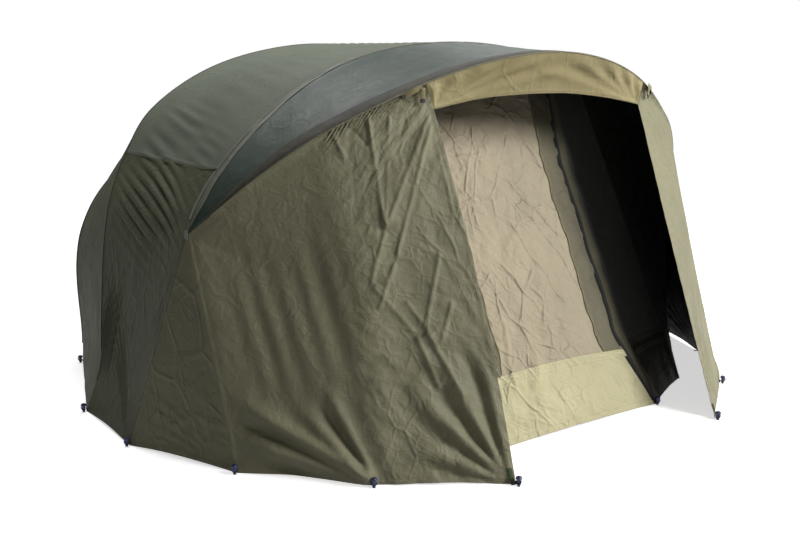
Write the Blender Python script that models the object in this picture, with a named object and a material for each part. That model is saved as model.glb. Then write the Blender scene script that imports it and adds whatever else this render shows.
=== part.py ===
# Two-person bivvy tent: tube frame, inner skin, outer wrap with an open porch.
# Metres, +Z up. The door faces -Y, and the origin is on the ground under the middle.

import math

import bmesh
import bpy
from mathutils import Matrix, Vector

# Overall plan. Depths are measured back from the porch's front hem.
REAR_HEM_DEPTH = 2.740
MIDDLE_DEPTH = REAR_HEM_DEPTH / 2
HUB_DEPTH = 0.932
HUB_HEIGHT = 0.820

# Frame tube
TUBE_RADIUS = 0.0095
TUBE_SIDES = 8
TONGUE_THICKNESS = 0.005
TONGUE_HALF_WIDTH = 0.0110
TONGUE_OVERRUN = 0.0120
FIT_GAP = 0.0003
SOCKET_GAP = 0.00035

# Hub block, on the side of the tent
HUB_BLOCK_X = 1.2425
HUB_BLOCK_WIDTH = 0.026
HUB_BLOCK_DEPTH = 0.056
HUB_BLOCK_HEIGHT = 0.084
HUB_BLOCK_BEVEL = 0.004
SOCKET_START = 0.012
SOCKET_STRAIGHT = 0.060
PLUG_JOIN = 0.120
BOLT_RADIUS = 0.0040
BOLT_HEAD_RADIUS = 0.0075
BOLT_HEAD_HEIGHT = 0.0040
BOLT_SIDES = 12
HUB_TONGUE_FLAT = 0.046
HUB_TONGUE_NECK = 0.062

# Ribs: half width, and rise along the rib's own plane from its axis
MIDDLE_RIB_HALF = 1.300
MIDDLE_RIB_TOP_DEPTH = 1.018
MIDDLE_RIB_TOP_HEIGHT = 1.503
FRONT_RIB_DROP = 0.044
FRONT_RIB_HALF = 1.306
FRONT_RIB_TOP_DEPTH = 0.420
FRONT_RIB_TOP_HEIGHT = MIDDLE_RIB_TOP_HEIGHT - FRONT_RIB_DROP
REAR_RIB_HALF = 1.512
REAR_RIB_DEPTH = 1.583
REAR_RIB_TOP_DEPTH = 2.192
REAR_RIB_TOP_HEIGHT = 1.530
BACK_RIB_HALF = 1.318
BACK_RIB_DEPTH = 2.266
BACK_RIB_TOP_DEPTH = 2.480
BACK_RIB_TOP_HEIGHT = 1.202

# Rib outlines, as shares of the half width and of the rise
MIDDLE_RIB_SHARES = ((1, 0), (0.965, 0.14), (0.90, 0.30), (0.80, 0.485), (0.65, 0.695),
                     (0.50, 0.84), (0.33, 0.935), (0.16, 0.985), (0, 1))
FRONT_RIB_SHARES = ((1, 0), (0.95, 0.11), (0.85, 0.32), (0.74, 0.50), (0.63, 0.63),
                    (0.50, 0.765), (0.38, 0.865), (0.25, 0.94), (0.12, 0.985), (0, 1))
REAR_RIB_SHARES = ((0.986, 0), (0.94, 0.10), (0.915, 0.22), (0.874, 0.40), (0.83, 0.535),
                   (0.763, 0.655), (0.66, 0.785), (0.47, 0.90), (0.25, 0.97), (0, 1))
BACK_RIB_SHARES = ((1, 0), (0.99, 0.12), (0.987, 0.30), (0.975, 0.42), (0.945, 0.53),
                   (0.88, 0.65), (0.775, 0.76), (0.60, 0.87), (0.35, 0.96), (0, 1))

# Where the panels' corners sit on the ribs: half widths, and one seam height
SIDE_SEAM_HEIGHT = 1.030
INNER_RIDGE_HALF = 0.666
DOOR_TOP_HALF = 0.455
PORCH_RIDGE_HALF = 0.830
HEADER_HALF = 0.570

# Steps along each stretch of a rib, from one foot to the middle
MIDDLE_STEPS = (3, 5, 3, 5)
FRONT_STEPS = (6, 5, 5)
REAR_STEPS = (8, 13)
LEG_STEPS = 5
RIDGE_STEPS = 11

# Skins
CLOTH = 0.002
SEAM_GAP = 0.0005
INNER_OFFSET = 0.0125
WRAP_OFFSET = 0.0200
FRONT_WRAP_OFFSET = 0.0140
FRONT_WRAP_LEAD = 0.0125
BACK_INNER_OFFSET = 0.0105
BACK_WRAP_OFFSET = 0.0185
BACK_LAG = 0.0095
MIDDLE_INNER_OFFSET = 0.0112
MIDDLE_LEAD = 0.0125
HUB_SKIN_X = 1.320
HUB_INNER_X = 1.306
INNER_REAR_FOOT_X = 1.5245
INNER_BACK_FOOT_X = 1.3275
HUB_CUTOUT_RADIUS = 0.062
HUB_CUTOUT_INSIDE = 1.215
HUB_CUTOUT_OUTSIDE = 1.316
TIP_SHARE = 0.06
HEM_LIFT = 0.010
BAY_SAG = 0.002
INNER_SAG = 0.014
SIDE_SAG = 0.010

# Hem corners of the wrap on one side: half width, depth
WRAP_CORNERS = {
    "porch_front": (0.548, 0.000),
    "porch_back": (0.952, 0.274),
    "side_front": (1.292, 0.648),
    "side_middle": (1.514, 1.116),
    "side_rear": (1.533, 1.583),
    "back_corner": (1.337, 2.280),
    "rear": (0.480, REAR_HEM_DEPTH),
}

# Hem corners of the inner skin on one side
INNER_CORNERS = {
    "door": (0.486, 0.262),
    "ridge": (0.860, 0.430),
    "side": (1.400, 0.950),
    "rear": (0.440, 2.660),
}

# Header and porch front
HEADER_CORNER_HALF = 0.546
HEADER_CORNER_DEPTH = 0.490
HEADER_CORNER_HEIGHT = 1.266
HEADER_ARCH = 0.053

# Zip beside the door: its straight stretch, on one side
ZIP_HALF = 0.385
ZIP_LOW_DEPTH = 0.420
ZIP_LOW_HEIGHT = 0.300
ZIP_HIGH_DEPTH = 0.775
ZIP_HIGH_HEIGHT = 1.000
ZIP_STEPS = (2, 5, 3)

# Zip slider
SLIDER_LENGTH = 0.014
SLIDER_WIDTH = 0.010
SLIDER_THICKNESS = 0.004
PULL_LENGTH = 0.045
PULL_WIDTH = 0.007
PULL_THICKNESS = 0.003
SLIDER_STANDOFF = 0.0035
SLIDER_START_SHARE = 0.10

# Struts under the roof: clipped round the middle rib, hooked behind the rear rib
STRUT_RADIUS = 0.0065
STRUT_MIDDLE_STATION = 12
STRUT_REAR_STATION = 16
STRUT_WALL = 0.0020
STRUT_SINK = 0.0010
STRUT_END = 0.006
STRUT_RING_WIDTH = 0.020
RING_SIDES = 12
CLIP_TURN = math.radians(210)
HOOK_TURN = math.radians(100)
HOOK_LEAN = math.radians(32)

# Legs, and the foot blocks of the rear ribs
LEG_FOOT_X = 1.300
LEG_FOOT_STRAIGHT = 0.030
RIB_AXIS_HEIGHT = 0.024
REAR_TONGUE_SHIFT = 0.022
BACK_TONGUE_SHIFT = 0.005
FOOT_TONGUE_FLAT = 0.028
FOOT_TONGUE_NECK = 0.050
FOOT_WIDTH = 0.024
FOOT_FRONT = 0.050
FOOT_BEHIND = 0.014
FOOT_HEIGHT = 0.044
FOOT_BEVEL = 0.004
STUD_RADIUS = 0.0040
STUD_END = 0.0015

# Pegs: what stands above the ground
PEG_SHANK_RADIUS = 0.0032
PEG_PLATE_HEIGHT = 0.0030
PEG_HEAD_RADIUS = 0.0120
PEG_HEAD_HEIGHT = 0.0240
PEG_HEIGHT = 0.0360
PEG_SIDES = 6
PEG_GAP = 0.0004
PEG_TOP_SHARE = 0.6

# Which way each peg stands from its corner, in degrees from -Y towards +X
PEG_BEARINGS = {
    "porch_front": 0,
    "porch_back": 45,
    "side_front": 55,
    "side_middle": 75,
    "side_rear": 90,
    "back_corner": 120,
    "rear": 180,
    "inner_door": 20,
}

# Porch ties: a tab that lies on each porch side, under the front rib
TIE_LENGTH = 0.026
TIE_WIDTH = 0.016
TIE_THICKNESS = 0.003
TIE_KNOB = 0.006
TIE_COLUMN = 4
TIE_DROP = 0.004
TIE_STANDOFF = 0.0050

# Groundsheet: corners on one side, as half width and depth
GROUNDSHEET_THICKNESS = 0.003
GROUNDSHEET_FRONT = ((0.430, 0.300), (0.810, 0.460), (1.2905, 0.980))
GROUNDSHEET_REAR_GAPS = (0.590, 0.180)
GROUNDSHEET_REAR = ((1.2905, REAR_HEM_DEPTH - GROUNDSHEET_REAR_GAPS[0]),
                    (0.400, REAR_HEM_DEPTH - GROUNDSHEET_REAR_GAPS[1]))

MATERIALS = {
    "wrap_cloth": ((0.066, 0.072, 0.050), 0.62, 0.0),
    "roof_cloth": ((0.070, 0.088, 0.074), 0.50, 0.0),
    "header_cloth": ((0.260, 0.225, 0.110), 0.70, 0.0),
    "inner_cloth": ((0.330, 0.290, 0.190), 0.75, 0.0),
    "window_cloth": ((0.020, 0.020, 0.018), 0.80, 0.0),
    "frame_tube": ((0.100, 0.110, 0.090), 0.40, 0.7),
    "hub_plastic": ((0.020, 0.022, 0.020), 0.50, 0.0),
    "bolt_steel": ((0.500, 0.500, 0.480), 0.30, 1.0),
    "peg_plastic": ((0.012, 0.016, 0.040), 0.45, 0.0),
    "zip_metal": ((0.150, 0.140, 0.120), 0.45, 0.8),
    "sheet_cloth": ((0.030, 0.034, 0.028), 0.70, 0.0),
}

X_AXIS = Vector((1, 0, 0))
Y_AXIS = Vector((0, 1, 0))
Z_AXIS = Vector((0, 0, 1))
SIDES = (("left", -1), ("right", 1))


def place(half, depth, height=0.0):
    """A point on the +X side: half width, depth behind the front hem, height."""
    return Vector((half, depth - MIDDLE_DEPTH, height))


def mirrored(points):
    return [Vector((-point.x, point.y, point.z)) for point in points]


def mix(first, second, share):
    return first.lerp(second, share)


# Materials and objects


def material(name):
    existing = bpy.data.materials.get(name)
    if existing:
        return existing
    colour, roughness, metallic = MATERIALS[name]
    made = bpy.data.materials.new(name)
    made.use_nodes = True
    shader = made.node_tree.nodes["Principled BSDF"]
    shader.inputs["Base Color"].default_value = (*colour, 1)
    shader.inputs["Roughness"].default_value = roughness
    shader.inputs["Metallic"].default_value = metallic
    made.diffuse_color = (*colour, 1)
    return made


def add_object(name, mesh_data, material_name, smooth=False, origin=None):
    """Link a bmesh as a named object, with its origin on its joint if one is given."""
    bmesh.ops.recalc_face_normals(mesh_data, faces=mesh_data.faces)
    if origin is not None:
        bmesh.ops.translate(mesh_data, verts=mesh_data.verts, vec=-origin)
    mesh = bpy.data.meshes.new(name)
    mesh_data.to_mesh(mesh)
    mesh_data.free()
    mesh.materials.append(material(material_name))
    if smooth:
        mesh.shade_smooth()
        mesh.set_sharp_from_angle(angle=math.radians(40))
    made = bpy.data.objects.new(name, mesh)
    bpy.context.scene.collection.objects.link(made)
    if origin is not None:
        made.location = origin
    return made


def boolean(target, cutter_mesh, operation="DIFFERENCE"):
    """Cut or join a closed bmesh into an object, exactly."""
    mesh = bpy.data.meshes.new(target.name + "_tool")
    bmesh.ops.recalc_face_normals(cutter_mesh, faces=cutter_mesh.faces)
    cutter_mesh.to_mesh(mesh)
    cutter_mesh.free()
    tool = bpy.data.objects.new(target.name + "_tool", mesh)
    bpy.context.scene.collection.objects.link(tool)
    tool.hide_render = True
    tool.display_type = "WIRE"
    modifier = target.modifiers.new("boolean", "BOOLEAN")
    modifier.solver = "EXACT"
    modifier.operation = operation
    modifier.object = tool
    return tool


# Curves


def smooth_curve(points, per_span=16):
    """A Catmull-Rom curve through the points, as a fine polyline."""
    ends = [points[0] * 2 - points[1]] + list(points) + [points[-1] * 2 - points[-2]]
    fine = []
    for index in range(1, len(ends) - 2):
        before, start, end, after = ends[index - 1:index + 3]
        for step in range(per_span):
            t = step / per_span
            fine.append(0.5 * (start * 2 + (end - before) * t
                               + (before * 2 - start * 5 + end * 4 - after) * t ** 2
                               + (start * 3 - before - end * 3 + after) * t ** 3))
    fine.append(points[-1].copy())
    return fine


def lengths_along(points):
    totals = [0.0]
    for first, second in zip(points, points[1:]):
        totals.append(totals[-1] + (second - first).length)
    return totals


def point_at(points, totals, distance):
    for index in range(len(points) - 1):
        if distance <= totals[index + 1]:
            span = totals[index + 1] - totals[index]
            return mix(points[index], points[index + 1], (distance - totals[index]) / span)
    return points[-1].copy()


def even_points(points, steps, start=0.0, end=None):
    """Points at equal distances along a polyline, ends included."""
    totals = lengths_along(points)
    end = totals[-1] if end is None else end
    return [point_at(points, totals, start + (end - start) * step / steps)
            for step in range(steps + 1)]


def distance_where(points, reached):
    """How far along the polyline the test first holds, found by its own spans."""
    totals = lengths_along(points)
    for index in range(len(points) - 1):
        if reached(points[index + 1]) >= 0 > reached(points[index]):
            low = -reached(points[index])
            share = low / (low + reached(points[index + 1]))
            return totals[index] + share * (totals[index + 1] - totals[index])
    return totals[-1]


class Rib:
    """A planar bent tube whose plane holds the X direction."""

    def __init__(self, axis, half, top, shares, stations, steps):
        self.axis = axis
        rise = top - axis
        self.up = rise.normalized()
        half_points = [axis + X_AXIS * half * across + rise * along for across, along in shares]
        fine = smooth_curve(half_points + mirrored(reversed(half_points[:-1])))
        middle = distance_where(fine, lambda point: -point.x)
        marks = [0.0] + [distance_where(fine, mark) for mark in stations] + [middle]
        half_run = [fine[0].copy()]
        for start, end, count in zip(marks, marks[1:], steps):
            half_run += even_points(fine, count, start, end)[1:]
        half_run[-1].x = 0
        self.points = half_run + mirrored(reversed(half_run[:-1]))

    def outward(self, index):
        """The in-plane normal at a point, lengthened so that offset runs stay parallel."""
        last = len(self.points) - 1
        here = self.points[index]
        before = self.points[max(index - 1, 0)]
        after = self.points[min(index + 1, last)]
        first = (here - before).normalized() if index > 0 else (after - here).normalized()
        second = (after - here).normalized() if index < last else first
        normal_first = self.turned(first)
        normal_second = self.turned(second)
        both = (normal_first + normal_second).normalized()
        return both / both.dot(normal_first)

    def turned(self, direction):
        across = direction.dot(X_AXIS)
        along = direction.dot(self.up)
        return X_AXIS * along - self.up * across

    def seam(self, offset, lead=0.0):
        """The rib's run moved outward in its plane, and forward by the lead."""
        return [point + self.outward(index) * offset - Y_AXIS * lead
                for index, point in enumerate(self.points)]


def make_ribs():
    hub = place(0, HUB_DEPTH, HUB_HEIGHT)
    rear_axis = place(0, REAR_RIB_DEPTH, RIB_AXIS_HEIGHT)
    back_axis = place(0, BACK_RIB_DEPTH, RIB_AXIS_HEIGHT)

    def beside(half):
        return lambda point: half - point.x

    return {
        "middle": Rib(hub, MIDDLE_RIB_HALF, place(0, MIDDLE_RIB_TOP_DEPTH, MIDDLE_RIB_TOP_HEIGHT),
                      MIDDLE_RIB_SHARES,
                      (lambda point: point.z - SIDE_SEAM_HEIGHT, beside(INNER_RIDGE_HALF),
                       beside(DOOR_TOP_HALF)), MIDDLE_STEPS),
        "front": Rib(hub, FRONT_RIB_HALF, place(0, FRONT_RIB_TOP_DEPTH, FRONT_RIB_TOP_HEIGHT),
                     FRONT_RIB_SHARES, (beside(PORCH_RIDGE_HALF), beside(HEADER_HALF)),
                     FRONT_STEPS),
        "rear": Rib(rear_axis, REAR_RIB_HALF, place(0, REAR_RIB_TOP_DEPTH, REAR_RIB_TOP_HEIGHT),
                    REAR_RIB_SHARES, (lambda point: point.z - SIDE_SEAM_HEIGHT,), REAR_STEPS),
        "back": Rib(back_axis, BACK_RIB_HALF, place(0, BACK_RIB_TOP_DEPTH, BACK_RIB_TOP_HEIGHT),
                    BACK_RIB_SHARES,
                    (lambda point: point.z - SIDE_SEAM_HEIGHT * BACK_RIB_TOP_HEIGHT
                     / REAR_RIB_TOP_HEIGHT,), REAR_STEPS),
    }


# Sheets of cloth as grids of points


def coons(bottom, top, start, end):
    """A grid that meets four edges: bottom and top run alike, start and end rise alike."""
    columns = len(bottom) - 1
    rows = len(start) - 1
    grid = []
    for row in range(rows + 1):
        v = row / rows
        line = []
        for column in range(columns + 1):
            u = column / columns
            ruled = mix(bottom[column], top[column], v) + mix(start[row], end[row], u)
            corners = mix(mix(bottom[0], bottom[-1], u), mix(top[0], top[-1], u), v)
            line.append(ruled - corners)
        grid.append(line)
    return grid


def joined(first, second):
    """Two grids side by side, sharing the column where they meet."""
    return [left + right[1:] for left, right in zip(first, second)]


def mirrored_grid(grid):
    return [mirrored(row) for row in grid]


def grid_normals(grid, outside):
    """A unit normal at each point, on the side that faces away from the tent's middle."""
    rows = len(grid)
    columns = len(grid[0])
    normals = []
    for row in range(rows):
        line = []
        for column in range(columns):
            total = Vector()
            for down, across in ((-1, -1), (-1, 0), (0, -1), (0, 0)):
                low, left = row + down, column + across
                if 0 <= low < rows - 1 and 0 <= left < columns - 1:
                    diagonal = grid[low + 1][left + 1] - grid[low][left]
                    other = grid[low + 1][left] - grid[low][left + 1]
                    total += diagonal.cross(other)
            total.normalize()
            if total.dot(grid[row][column] - outside) < 0:
                total.negate()
            line.append(total)
        normals.append(line)
    return normals


def sagged(grid, depth):
    """The grid with its middle moved out by the depth; a minus depth hollows it."""
    normals = grid_normals(grid, TENT_HEART)
    rows = len(grid) - 1
    columns = len(grid[0]) - 1
    return [[point + normals[row][column] * depth
             * math.sin(math.pi * row / rows) * math.sin(math.pi * column / columns)
             for column, point in enumerate(line)] for row, line in enumerate(grid)]


def hem(first, second, steps, lift=HEM_LIFT):
    """A hem between two corners, drawn up a little in the middle."""
    return [mix(first, second, step / steps)
            + Z_AXIS * lift * math.sin(math.pi * step / steps) for step in range(steps + 1)]


TENT_HEART = place(0, REAR_RIB_DEPTH, SIDE_SEAM_HEIGHT / 2)


def on_line(point, start, end):
    away = point - start
    run = end - start
    along = away.dot(run) / run.length_squared
    return -FIT_GAP < along < 1 + FIT_GAP and (away - run * along).length < FIT_GAP


def point_key(point):
    return tuple(round(value / FIT_GAP) for value in point)


def shared_normals(grids, creases):
    """Normals averaged where sheets meet, so that their edges are cut on one mitre."""
    own = {name: grid_normals(grid, TENT_HEART) for name, grid in grids.items()}
    totals = {}
    for name, grid in grids.items():
        for line, normals in zip(grid, own[name]):
            for point, normal in zip(line, normals):
                key = point_key(point)
                totals[key] = totals.get(key, Vector()) + normal
    points = {point_key(point): point for grid in grids.values() for line in grid
              for point in line}
    for start, end in creases:
        met = [key for key, point in points.items() if on_line(point, start, end)]
        shared = sum((totals[key].normalized() for key in met), Vector())
        totals.update({key: shared for key in met})
    return {name: [[totals[point_key(point)].normalized() for point in line] for line in grid]
            for name, grid in grids.items()}


def drawn_in(grid, row, column):
    """The point, moved off the sheet's edge by half a seam gap."""
    point = grid[row][column].copy()
    rows = len(grid) - 1
    columns = len(grid[0]) - 1
    shift = Vector()
    if row in (0, rows):
        inner = grid[1][column] if row == 0 else grid[rows - 1][column]
        shift += (inner - point).normalized()
    if column in (0, columns):
        meets = (grid[row][0] - grid[row][columns]).length < FIT_GAP
        level = row if not meets else (1 if row == 0 else rows - 1)
        beside = 1 if column == 0 else columns - 1
        shift += (grid[level][beside] - grid[level][column]).normalized()
    return point + shift * SEAM_GAP / 2


def sheet_solid(grid, normals, tips, thickness=CLOTH):
    """A closed solid of even thickness about a grid. tips are rows that meet in a point."""
    rows = len(grid)
    columns = len(grid[0])
    solid = bmesh.new()
    layers = []
    for side in (1, -1):
        places = [[drawn_in(grid, row, column) + normals[row][column] * side * thickness / 2
                   for column in range(columns)] for row in range(rows)]
        for tip in tips:
            near = places[1] if tip == 0 else places[-2]
            places[tip] = [mix(point, near[column], TIP_SHARE)
                           for column, point in enumerate(places[tip])]
        for line in places:
            for point in line:
                point.z = max(point.z, 0)
        layers.append([[solid.verts.new(point) for point in line] for line in places])
    outer, inner = layers
    for row in range(rows - 1):
        for column in range(columns - 1):
            for layer in layers:
                solid.faces.new((layer[row][column], layer[row][column + 1],
                                 layer[row + 1][column + 1], layer[row + 1][column]))
    rim = ([(0, column) for column in range(columns)]
           + [(row, columns - 1) for row in range(1, rows)]
           + [(rows - 1, column) for column in range(columns - 2, -1, -1)]
           + [(row, 0) for row in range(rows - 2, 0, -1)])
    for here, after in zip(rim, rim[1:] + rim[:1]):
        solid.faces.new((outer[here[0]][here[1]], outer[after[0]][after[1]],
                         inner[after[0]][after[1]], inner[here[0]][here[1]]))
    return solid


def add_sheets(grids, materials, tips, creases):
    normals = shared_normals(grids, creases)
    return {name: add_object(name, sheet_solid(grid, normals[name], tips.get(name, ())),
                             materials.get(name, materials["others"]))
            for name, grid in grids.items()}


def both_sides(name, grid):
    return {name + "_right": grid, name + "_left": mirrored_grid(grid)}


# Seams on the ribs


def wrap_seams(ribs):
    hub = place(HUB_SKIN_X, HUB_DEPTH, HUB_HEIGHT)
    seams = {
        "middle": ribs["middle"].seam(WRAP_OFFSET, MIDDLE_LEAD),
        "front": ribs["front"].seam(FRONT_WRAP_OFFSET, FRONT_WRAP_LEAD),
        "rear": ribs["rear"].seam(WRAP_OFFSET),
        "back": ribs["back"].seam(BACK_WRAP_OFFSET, -BACK_LAG),
    }
    ends = {"middle": hub, "front": hub, "rear": place(*WRAP_CORNERS["side_rear"]),
            "back": place(*WRAP_CORNERS["back_corner"])}
    return with_ends(seams, ends)


def inner_seams(ribs):
    seams = {
        "middle": ribs["middle"].seam(MIDDLE_INNER_OFFSET, MIDDLE_LEAD),
        "rear": ribs["rear"].seam(INNER_OFFSET),
        "back": ribs["back"].seam(BACK_INNER_OFFSET, -BACK_LAG),
    }
    rear_foot = place(INNER_REAR_FOOT_X, REAR_RIB_DEPTH)
    back_foot = place(INNER_BACK_FOOT_X, BACK_RIB_DEPTH + BACK_LAG)
    return with_ends(seams, {"middle": place(HUB_INNER_X, HUB_DEPTH, HUB_HEIGHT),
                             "rear": rear_foot, "back": back_foot})


def with_ends(seams, ends):
    for name, end in ends.items():
        seams[name][0] = end.copy()
        seams[name][-1] = mirrored([end])[0]
    return seams


# The outer wrap


def wrap_grids(ribs):
    seams = wrap_seams(ribs)
    middle, front, rear, back = (seams[name] for name in ("middle", "front", "rear", "back"))
    corner = {name: place(*values) for name, values in WRAP_CORNERS.items()}
    hub = middle[0]
    side = MIDDLE_STEPS[0]
    ridge_index = FRONT_STEPS[0]
    header_index = ridge_index + FRONT_STEPS[1]
    across_front = 3
    across_rear = 5
    across_side = 5

    front_leg_seam = even_points([corner["side_front"], hub], LEG_STEPS)
    back_leg_seam = even_points([corner["side_middle"], hub], LEG_STEPS)
    ridge = even_points([corner["porch_back"], front[ridge_index]], RIDGE_STEPS)
    side_seam = even_points([middle[side], rear[REAR_STEPS[0]]], across_rear)

    header_low = [place(HEADER_CORNER_HALF * (1 - step / FRONT_STEPS[2]),
                        HEADER_CORNER_DEPTH,
                        HEADER_CORNER_HEIGHT + HEADER_ARCH
                        * (1 - (1 - step / FRONT_STEPS[2]) ** 2))
                  for step in range(2 * FRONT_STEPS[2] + 1)]
    header_side = even_points([header_low[0], front[header_index]], 3)
    porch_front = (even_points([corner["porch_front"], header_low[0]], RIDGE_STEPS - 3)
                   + header_side[1:])
    rear_hem_half = smooth_hem([corner["back_corner"], corner["rear"]], sum(REAR_STEPS))

    grids = {
        "wrap_roof_front": sagged(coons(
            [hub] * (across_front + 1), mirrored([hub] * (across_front + 1)), middle, front),
            -BAY_SAG),
        "wrap_roof_rear": sagged(coons(side_seam, mirrored(side_seam),
                                       middle[side:len(middle) - side],
                                       rear[REAR_STEPS[0]:len(rear) - REAR_STEPS[0]]), -BAY_SAG),
        "wrap_header": coons(header_low, front[header_index:len(front) - header_index],
                             header_side, mirrored(header_side)),
        "wrap_back_bay": sagged(coons(
            hem(corner["side_rear"], corner["back_corner"], across_front),
            mirrored(hem(corner["side_rear"], corner["back_corner"], across_front)),
            rear, back), -BAY_SAG),
        "wrap_rear_wall": coons([back[0]] * (across_front + 1), [back[-1]] * (across_front + 1),
                                back, rear_hem_half),
    }
    grids.update(both_sides("wrap_side_rear", sagged(coons(
        hem(corner["side_middle"], corner["side_rear"], across_rear), side_seam,
        back_leg_seam + middle[1:side + 1], rear[:REAR_STEPS[0] + 1]), -SIDE_SAG)))
    grids.update(both_sides("wrap_gusset", coons(
        hem(corner["side_front"], corner["side_middle"], across_side), [hub] * (across_side + 1),
        front_leg_seam, back_leg_seam)))
    grids.update(both_sides("wrap_side_front", sagged(coons(
        hem(corner["side_front"], corner["porch_back"], across_side),
        [front[ridge_index]] * (across_side + 1),
        front_leg_seam + front[1:ridge_index + 1], ridge), -SIDE_SAG)))
    grids.update(both_sides("wrap_porch", coons(
        hem(corner["porch_back"], corner["porch_front"], FRONT_STEPS[1]),
        front[ridge_index:header_index + 1], ridge, porch_front)))
    return grids


def smooth_hem(corners, half_steps):
    """The rear hem from the +X corner round to the -X one, with as many steps as the rib."""
    side = hem(corners[0], corners[1], half_steps - half_steps // 3)
    middle = hem(corners[1], mirrored([corners[1]])[0], 2 * (half_steps // 3))
    return side + middle[1:] + mirrored(reversed(side[:-1]))


# The inner skin and its front wall


def zip_line(top):
    """The zip beside the door: flared at the ground, straight, then in to the rib."""
    foot = place(*INNER_CORNERS["door"])
    low = place(ZIP_HALF, ZIP_LOW_DEPTH, ZIP_LOW_HEIGHT)
    high = place(ZIP_HALF, ZIP_HIGH_DEPTH, ZIP_HIGH_HEIGHT)
    return (even_points([foot, low], ZIP_STEPS[0]) + even_points([low, high], ZIP_STEPS[1])[1:]
            + even_points([high, top], ZIP_STEPS[2])[1:])


def inner_grids(ribs):
    seams = inner_seams(ribs)
    middle, rear, back = (seams[name] for name in ("middle", "rear", "back"))
    corner = {name: place(*values) for name, values in INNER_CORNERS.items()}
    ridge_index = sum(MIDDLE_STEPS[:2])
    door_index = ridge_index + MIDDLE_STEPS[2]
    rows = sum(ZIP_STEPS)
    across_bay = 4
    across_back = 2

    zip_right = zip_line(middle[door_index])
    ridge = even_points([corner["ridge"], middle[ridge_index]], rows)
    side = even_points([corner["side"], middle[0]], rows)
    window = coons(hem(corner["door"], corner["ridge"], MIDDLE_STEPS[2]),
                   list(reversed(middle[ridge_index:door_index + 1])), zip_right, ridge)
    cheek = coons(hem(corner["ridge"], corner["side"], ridge_index),
                  list(reversed(middle[:ridge_index + 1])), ridge, side)
    front_edge = (even_points([corner["side"], middle[0]], LEG_STEPS) + middle[1:-1]
                  + mirrored(even_points([middle[0], corner["side"]], LEG_STEPS)))
    side_hem = hem(corner["side"], rear[0], across_bay)
    back_hem = hem(rear[0], back[0], across_back)
    rear_hem = smooth_hem([back[0], corner["rear"]], sum(REAR_STEPS))

    grids = {
        "inner_door": coons(hem(corner["door"], mirrored([corner["door"]])[0],
                                2 * MIDDLE_STEPS[3]),
                            middle[door_index:len(middle) - door_index],
                            zip_right, mirrored(zip_right)),
        "inner_skin": sagged(coons(side_hem, mirrored(side_hem), front_edge, rear), -INNER_SAG),
        "inner_back": joined(
            sagged(coons(back_hem, mirrored(back_hem), rear, back), -INNER_SAG),
            coons([back[0]] * (across_back + 1), [back[-1]] * (across_back + 1),
                  back, rear_hem)),
    }
    grids.update(both_sides("inner_wing", joined(window, cheek)))
    return grids


# Solids


def tube_mesh(path, radius, side_axis, flats=None, sides=TUBE_SIDES):
    """A tube along a path. flats gives a ring's scale along the side axis and across it."""
    flats = flats or {}
    solid = bmesh.new()
    rings = []
    last = len(path) - 1
    for index, point in enumerate(path):
        before = (point - path[max(index - 1, 0)]).normalized()
        after = (path[min(index + 1, last)] - point).normalized()
        tangent = (before + after).normalized()
        first = (side_axis - tangent * side_axis.dot(tangent)).normalized()
        second = tangent.cross(first)
        stretch = 1 / tangent.dot(after) if 0 < index < last else 1
        first_scale, second_scale = flats.get(index, (1, stretch))
        ring = []
        for step in range(sides):
            angle = 2 * math.pi * (step + 0.5) / sides
            ring.append(solid.verts.new(point + first * radius * first_scale * math.cos(angle)
                                        + second * radius * second_scale * math.sin(angle)))
        rings.append(ring)
    close_rings(solid, rings)
    return solid


def close_rings(solid, rings):
    """Faces between rings of vertices, and a cap on each end."""
    for low, high in zip(rings, rings[1:]):
        for step in range(len(low)):
            after = (step + 1) % len(low)
            solid.faces.new((low[step], low[after], high[after], high[step]))
    solid.faces.new(list(reversed(rings[0])))
    solid.faces.new(rings[-1])


def turned_mesh(profile, centre, axis, sides, flat_to=None):
    """A solid of revolution: the profile gives distances along the axis and radii."""
    first = axis.orthogonal().normalized()
    if flat_to is not None:
        half_step = math.pi / sides
        first = flat_to * math.cos(half_step) + axis.cross(flat_to) * math.sin(half_step)
    second = axis.cross(first)
    solid = bmesh.new()
    rings = []
    for along, radius in profile:
        rings.append([solid.verts.new(
            centre + axis * along
            + first * radius * math.cos(2 * math.pi * step / sides)
            + second * radius * math.sin(2 * math.pi * step / sides)) for step in range(sides)])
    close_rings(solid, rings)
    return solid


def arc_mesh(centre, axis, middle, turn, radii, width, steps=RING_SIDES):
    """Part of a ring about an axis, as wide as given, with its middle in one direction."""
    side = axis.cross(middle)
    solid = bmesh.new()
    rings = []
    for step in range(steps + 1):
        angle = turn * (step / steps - 0.5)
        out = middle * math.cos(angle) + side * math.sin(angle)
        rings.append([solid.verts.new(centre + out * radius + axis * width * across)
                      for radius, across in ((radii[0], -0.5), (radii[1], -0.5),
                                             (radii[1], 0.5), (radii[0], 0.5))])
    close_rings(solid, rings)
    return solid


def box_mesh(low, high, bevel=0.0):
    solid = bmesh.new()
    bmesh.ops.create_cube(solid, size=1, matrix=Matrix.Translation((low + high) / 2)
                          @ Matrix.Diagonal((*(high - low), 1)))
    if bevel:
        bmesh.ops.bevel(solid, geom=solid.edges[:], offset=bevel, segments=1, affect="EDGES")
    return solid


def flipped(mesh_data, sign):
    if sign < 0:
        bmesh.ops.scale(mesh_data, verts=mesh_data.verts, vec=(-1, 1, 1))
    return mesh_data


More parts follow.
